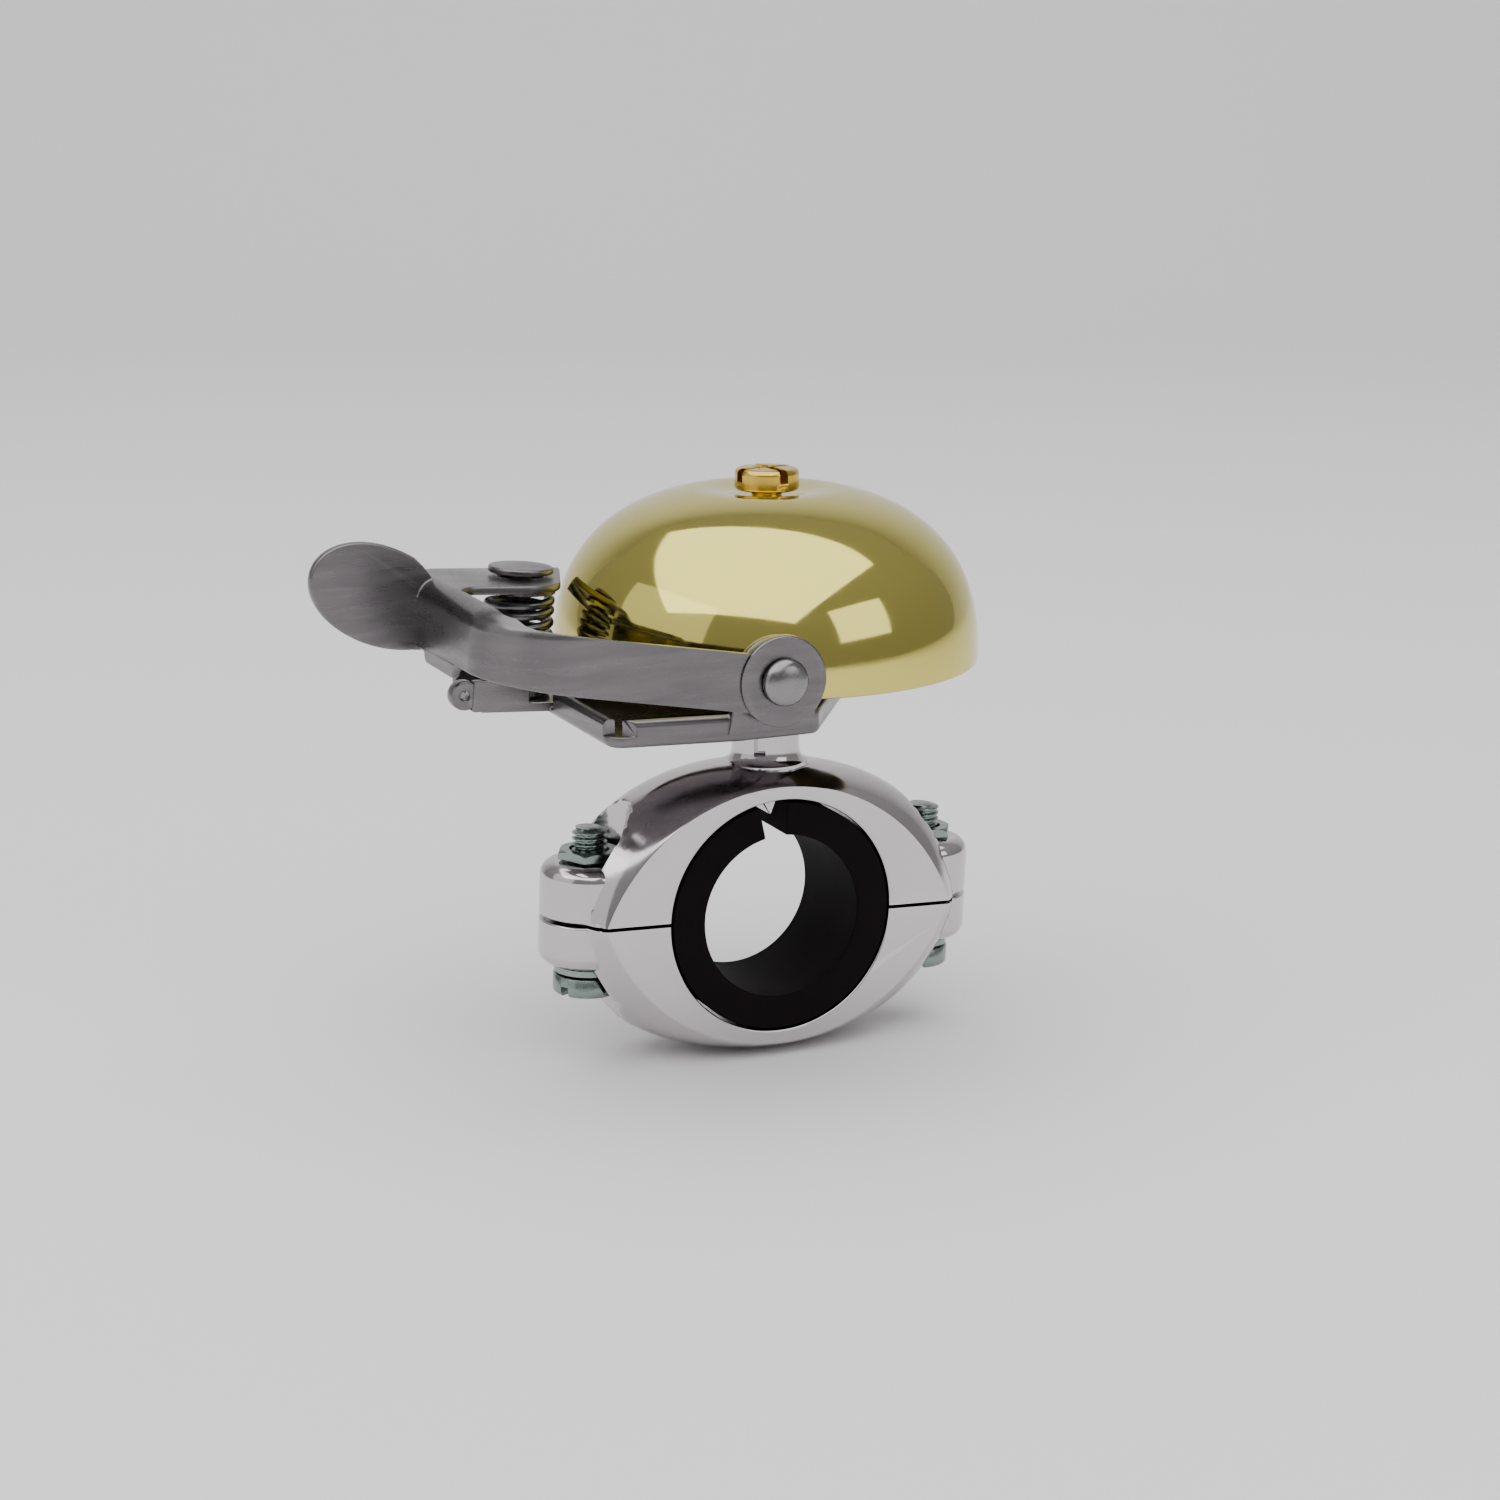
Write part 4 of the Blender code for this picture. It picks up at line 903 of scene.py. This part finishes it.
def neck_steps():
    """The round neck, its flared foot, the slot up its front and the threaded hole, upright on the bar."""
    straight = Matrix.Rotation(-CLAMP_TURN, 4, "Y")
    flare = [(0.0, NECK_TOP), (NECK_R - 0.3 * MM, NECK_TOP)]
    flare += arc((NECK_R - 0.3 * MM, NECK_TOP - 0.3 * MM), 0.3 * MM, 80, 0, 5)
    flare += [(NECK_R + NECK_FOOT * (1 - math.cos(t)), 21.6 * MM - 2.0 * MM * math.sin(t))
              for t in (math.pi / 2 * i / 12 for i in range(13))]
    flare += [(NECK_R + NECK_FOOT, 17.0 * MM), (0.0, 17.0 * MM)]
    groove = box_mesh((-GROOVE_HALF, -7.0 * MM, 20.9 * MM), (GROOVE_HALF, -2.9 * MM, NECK_TOP + MM))
    groove.transform(Matrix.Translation((HEAD_X, 0, 0)) @ Matrix.Rotation(GROOVE_AT, 4, "Z"))
    thread = rod_mesh(STUD_R + FIT_GAP, (HEAD_X, 0, NECK_TOP - 8 * MM), (HEAD_X, 0, NECK_TOP + MM), 40)
    return [("UNION", moved(turned_mesh(flare, 96, (HEAD_X, 0.0)), straight)),
            ("DIFFERENCE", moved(groove, straight)), ("DIFFERENCE", moved(thread, straight))]


def make_clamp_half(name, node, body, side):
    """side is +1 for the half that carries the bell and -1 for the cap."""
    seat = EAR_TOP if side > 0 else EAR_BOTTOM
    steps = []
    for x in (-BOLT_X, BOLT_X):
        pocket = rod_mesh(POCKET_R, (x, 0, seat - side * 0.5 * MM), (x, 0, seat + side * 20 * MM), 80)
        steps.append(("DIFFERENCE", pocket))
        steps.append(("UNION", ear_mesh(x, side)))
        steps.append(("DIFFERENCE", rod_mesh(BOLT_HOLE_R, (x, 0, -15 * MM), (x, 0, 15 * MM), 48)))
    if side > 0:
        steps += neck_steps()
    steps.append(("DIFFERENCE", rod_mesh(BORE_R, (0, -12 * MM, 0), (0, 12 * MM, 0), 160)))
    reach, low, high = 40 * MM, side * -5 * MM, side * SPLIT_GAP / 2
    steps.append(("DIFFERENCE", box_mesh((-reach, -reach, min(low, high)), (reach, reach, max(low, high)))))
    if side > 0:
        tooth = [(-1.5 * MM, BORE_R + 0.9 * MM), (0.0, BORE_R - TOOTH_HEIGHT), (1.5 * MM, BORE_R + 0.9 * MM)]
        wedge = upright(plate_mesh(tooth, -7.0 * MM, 7.0 * MM))
        steps.append(("UNION", moved(wedge, Matrix.Rotation(math.pi / 2 - SHIM_SLIT_AT, 4, "Y"))))
    mesh = bevelled(carved(clamp_body_mesh(side), steps), CLAMP_EDGE, 3, 32.0)
    return show(name, mesh, AT_CLAMP, body, node, ALUMINIUM, 38.0)


def thread_mesh(x, low, high):
    """A bolt's shank with a real helical thread, from one height to the other."""
    around, per_pitch = 56, 12
    rows = int((high - low) / THREAD_PITCH * per_pitch)
    bm = bmesh.new()
    rings = []
    for k in range(rows + 1):
        z = low + (high - low) * k / rows
        fade = min(1.0, (high - z) / (0.35 * THREAD_PITCH))
        ring = []
        for i in range(around):
            share = i / around
            phase = (z / THREAD_PITCH - share) % 1.0
            ridge = min(1.0, max(0.0, 1.6 - abs(phase - 0.5) * 4.6))
            radius = BOLT_R - THREAD_DEPTH * (1.0 - ridge) - THREAD_DEPTH * (1.0 - fade)
            angle = 2 * math.pi * share
            ring.append(bm.verts.new((x + radius * math.cos(angle), radius * math.sin(angle), z)))
        rings.append(ring)
    for a, b in zip(rings, rings[1:]):
        for i in range(around):
            j = (i + 1) % around
            bm.faces.new((a[i], a[j], b[j], b[i]))
    bm.faces.new(rings[0])
    bm.faces.new(rings[-1])
    return mesh_from(bm)


def make_bolt(name, node, body, x, turn):
    """Cheese-head bolt with a slot and a helical thread."""
    seat = EAR_BOTTOM - FIT_GAP - LOCK_WASHER - FIT_GAP
    base = seat - BOLT_HEAD_HEIGHT
    edge = 0.6 * MM
    profile = [(0.0, EAR_BOTTOM), (BOLT_R - THREAD_DEPTH * 0.5, EAR_BOTTOM),
               (BOLT_R - THREAD_DEPTH * 0.5, seat), (BOLT_HEAD_R - 0.15 * MM, seat),
               (BOLT_HEAD_R, seat - 0.15 * MM)]
    profile += arc((BOLT_HEAD_R - edge, base + edge), edge, 0, -90, 8)
    profile.append((0.0, base))
    head = turned_mesh(profile, 72, (x, 0.0))
    slot = box_mesh((x - 6 * MM, -BOLT_SLOT_HALF, base - MM),
                    (x + 6 * MM, BOLT_SLOT_HALF, base + BOLT_SLOT_DEPTH))
    around = Matrix.Translation((x, 0, 0)) @ Matrix.Rotation(turn, 4, "Z") @ Matrix.Translation((-x, 0, 0))
    head = bevelled(carved(head, [("DIFFERENCE", moved(slot, around))]), 0.12 * MM, 2, 45.0)
    shank = thread_mesh(x, EAR_BOTTOM - 0.4 * MM, BOLT_TOP)
    mesh = carved(head, [("UNION", shank)])
    return show(name, mesh, AT_CLAMP, body, node, ZINC, 50.0, False)


def make_nut(name, node, x):
    """Low hexagon nut in its pocket, chamfered at its corners."""
    low = EAR_TOP + FIT_GAP
    high = low + NUT_HEIGHT
    turn = Matrix.Translation((x, 0, 0)) @ Matrix.Rotation(math.radians(30.0), 4, "Z")
    hexagon = moved(rod_mesh(NUT_R, (0, 0, low), (0, 0, high), 6), turn)
    flat = NUT_R * math.cos(math.pi / 6)
    cone = [(0.0, high + 0.01 * MM), (flat, high + 0.01 * MM), (NUT_R + 0.3 * MM, high - 0.55 * MM),
            (NUT_R + 0.3 * MM, low - MM), (0.0, low - MM)]
    mesh = carved(hexagon, [
        ("INTERSECT", turned_mesh(cone, 96, (x, 0.0))),
        ("DIFFERENCE", rod_mesh(BOLT_HOLE_R, (x, 0, low - MM), (x, 0, high + MM), 48))])
    mesh = bevelled(mesh, 0.1 * MM, 2, 30.0)
    return show(name, mesh, AT_CLAMP, "mount", node, ZINC, 30.0)


def make_shim():
    """Split rubber sleeve with soft edges."""
    start = math.degrees(SHIM_SLIT_AT + SHIM_SLIT / 2)
    end = start + 360.0 - math.degrees(SHIM_SLIT)
    outline = arc((0, 0), BORE_R - FIT_GAP, start, end, 160)
    outline += arc((0, 0), SHIM_BORE_R, end, start, 160)
    half = CLAMP_WIDTH / 2
    mesh = bevelled(upright(plate_mesh(outline, -half, half)), SHIM_EDGE, 3, 50.0, False)
    return show("rubber_sleeve", mesh, AT_CLAMP, "mount", "bar_shim", RUBBER, 45.0)


# painted shade: the dome's inside gets a near-black painted-shade colour and a rougher finish
paint_dome_inside_shade(BRASS, tuple(AT_DOME.translation), (0.10, 0.08, 0.035))
make_dome()
make_dome_screw()
make_lever()
make_spring()
make_pin()
make_rivet()
make_bracket()
make_clamp_half("clamp_top_half", "clamp_upper", "mount", 1)
make_clamp_half("clamp_cap_half", "clamp_lower", "clamp_cap", -1)
make_bolt("cap_bolt_left", "clamp_bolt_left", "bolt_left", -BOLT_X, 0.5)
make_bolt("cap_bolt_right", "clamp_bolt_right", "bolt_right", BOLT_X, 1.3)
make_nut("pocket_nut_left", "clamp_nut_left", -BOLT_X)
make_nut("pocket_nut_right", "clamp_nut_right", BOLT_X)
make_shim()
for node in ("pivot_washer", "spring_seat", "spring_collar", "dome_post"):
    dress(node, BRIGHT_STEEL)
for node in ("bolt_washer_left", "bolt_washer_right", "post_lock_washer"):
    dress(node, ZINC)
dress("dome_washer", FIBRE)


# ---------------------------------------------------------------- floor, light and camera

def make_world():
    """Even light from a white tent, a little brighter above than at the sides."""
    world = bpy.data.worlds.new("studio")
    bpy.context.scene.world = world
    world.use_nodes = True
    tree = world.node_tree
    place = tree.nodes.new("ShaderNodeTexCoord")
    split = tree.nodes.new("ShaderNodeSeparateXYZ")
    tree.links.new(place.outputs["Generated"], split.inputs["Vector"])
    height = ramp_between(tree, split.outputs["Z"], -0.2, 1.0)
    level = maths(tree, "MULTIPLY_ADD", height, TENT_TOP - TENT_SIDE, TENT_SIDE)
    tree.links.new(level, tree.nodes["Background"].inputs["Strength"])
    tree.nodes["Background"].inputs["Color"].default_value = (1.0, 0.98, 0.99, 1.0)


def make_floor():
    """A pale sheet that curves up into a backdrop behind the bell."""
    far, depth, height, bend = 1.2, 1.2, 1.5, 0.35
    outline = [(-far, 0.0)] + [(depth - bend + bend * math.sin(t), bend - bend * math.cos(t))
                               for t in (math.pi / 2 * i / 16 for i in range(17))] + [(depth, height)]
    bm = bmesh.new()
    rows = [[bm.verts.new((x, y, z)) for y, z in outline] for x in (-1.6, 1.6)]
    for i in range(len(outline) - 1):
        bm.faces.new((rows[0][i], rows[1][i], rows[1][i + 1], rows[0][i + 1]))
    made = bpy.data.meshes.new("floor")
    bm.to_mesh(made)
    bm.free()
    floor = linked("floor", made)
    floor.rotation_euler = (0.0, 0.0, CAMERA_AZIMUTH)
    floor.data.materials.append(floor_material())
    floor.data.shade_smooth()


def floor_material():
    """Plain pale card."""
    made = bpy.data.materials.new("pale_floor")
    made.use_nodes = True
    shader = made.node_tree.nodes["Principled BSDF"]
    shader.inputs["Base Color"].default_value = (0.84, 0.83, 0.835, 1.0)
    shader.inputs["Roughness"].default_value = 0.9
    shader.inputs["Specular IOR Level"].default_value = 0.0
    return made


def aim(obj, target):
    way = Vector(target) - obj.location
    obj.rotation_mode = "QUATERNION"
    obj.rotation_quaternion = way.to_track_quat("-Z", "Y")


def soft_box(name, azimuth, elevation, width, height, power):
    """A broad lamp one metre away that looks at the bell; azimuth runs from -Y towards +X."""
    lamp = bpy.data.lights.new(name, "AREA")
    lamp.shape = "RECTANGLE"
    lamp.size = width
    lamp.size_y = height
    lamp.energy = power
    obj = linked(name, lamp)
    around, above = math.radians(azimuth), math.radians(elevation)
    obj.location = BAR + Vector((math.sin(around) * math.cos(above), -math.cos(around) * math.cos(above),
                                 math.sin(above)))
    aim(obj, BAR)
    return obj


def make_camera():
    """The photograph's view: from the front left, a little above."""
    level = math.cos(CAMERA_ELEVATION)
    back = Vector((math.sin(CAMERA_AZIMUTH) * level, -math.cos(CAMERA_AZIMUTH) * level,
                   math.sin(CAMERA_ELEVATION)))
    lens = bpy.data.cameras.new("camera")
    lens.lens = LENS
    lens.sensor_width = 36.0
    lens.clip_start = 0.01
    camera = linked("camera", lens)
    camera.location = CAMERA_TARGET + back * CAMERA_DISTANCE
    camera.rotation_mode = "QUATERNION"
    roll = Matrix.Rotation(CAMERA_ROLL, 3, "Z").to_quaternion()
    camera.rotation_quaternion = back.to_track_quat("Z", "Y") @ roll
    bpy.context.scene.camera = camera


make_floor()
make_world()
soft_box("overhead", -45.0, 74.0, 1.7, 1.7, 20.0)
soft_box("front_right", 32.0, 24.0, 0.55, 0.40, 1.2)
soft_box("left", -85.0, 20.0, 1.0, 0.8, 1.6)
make_camera()
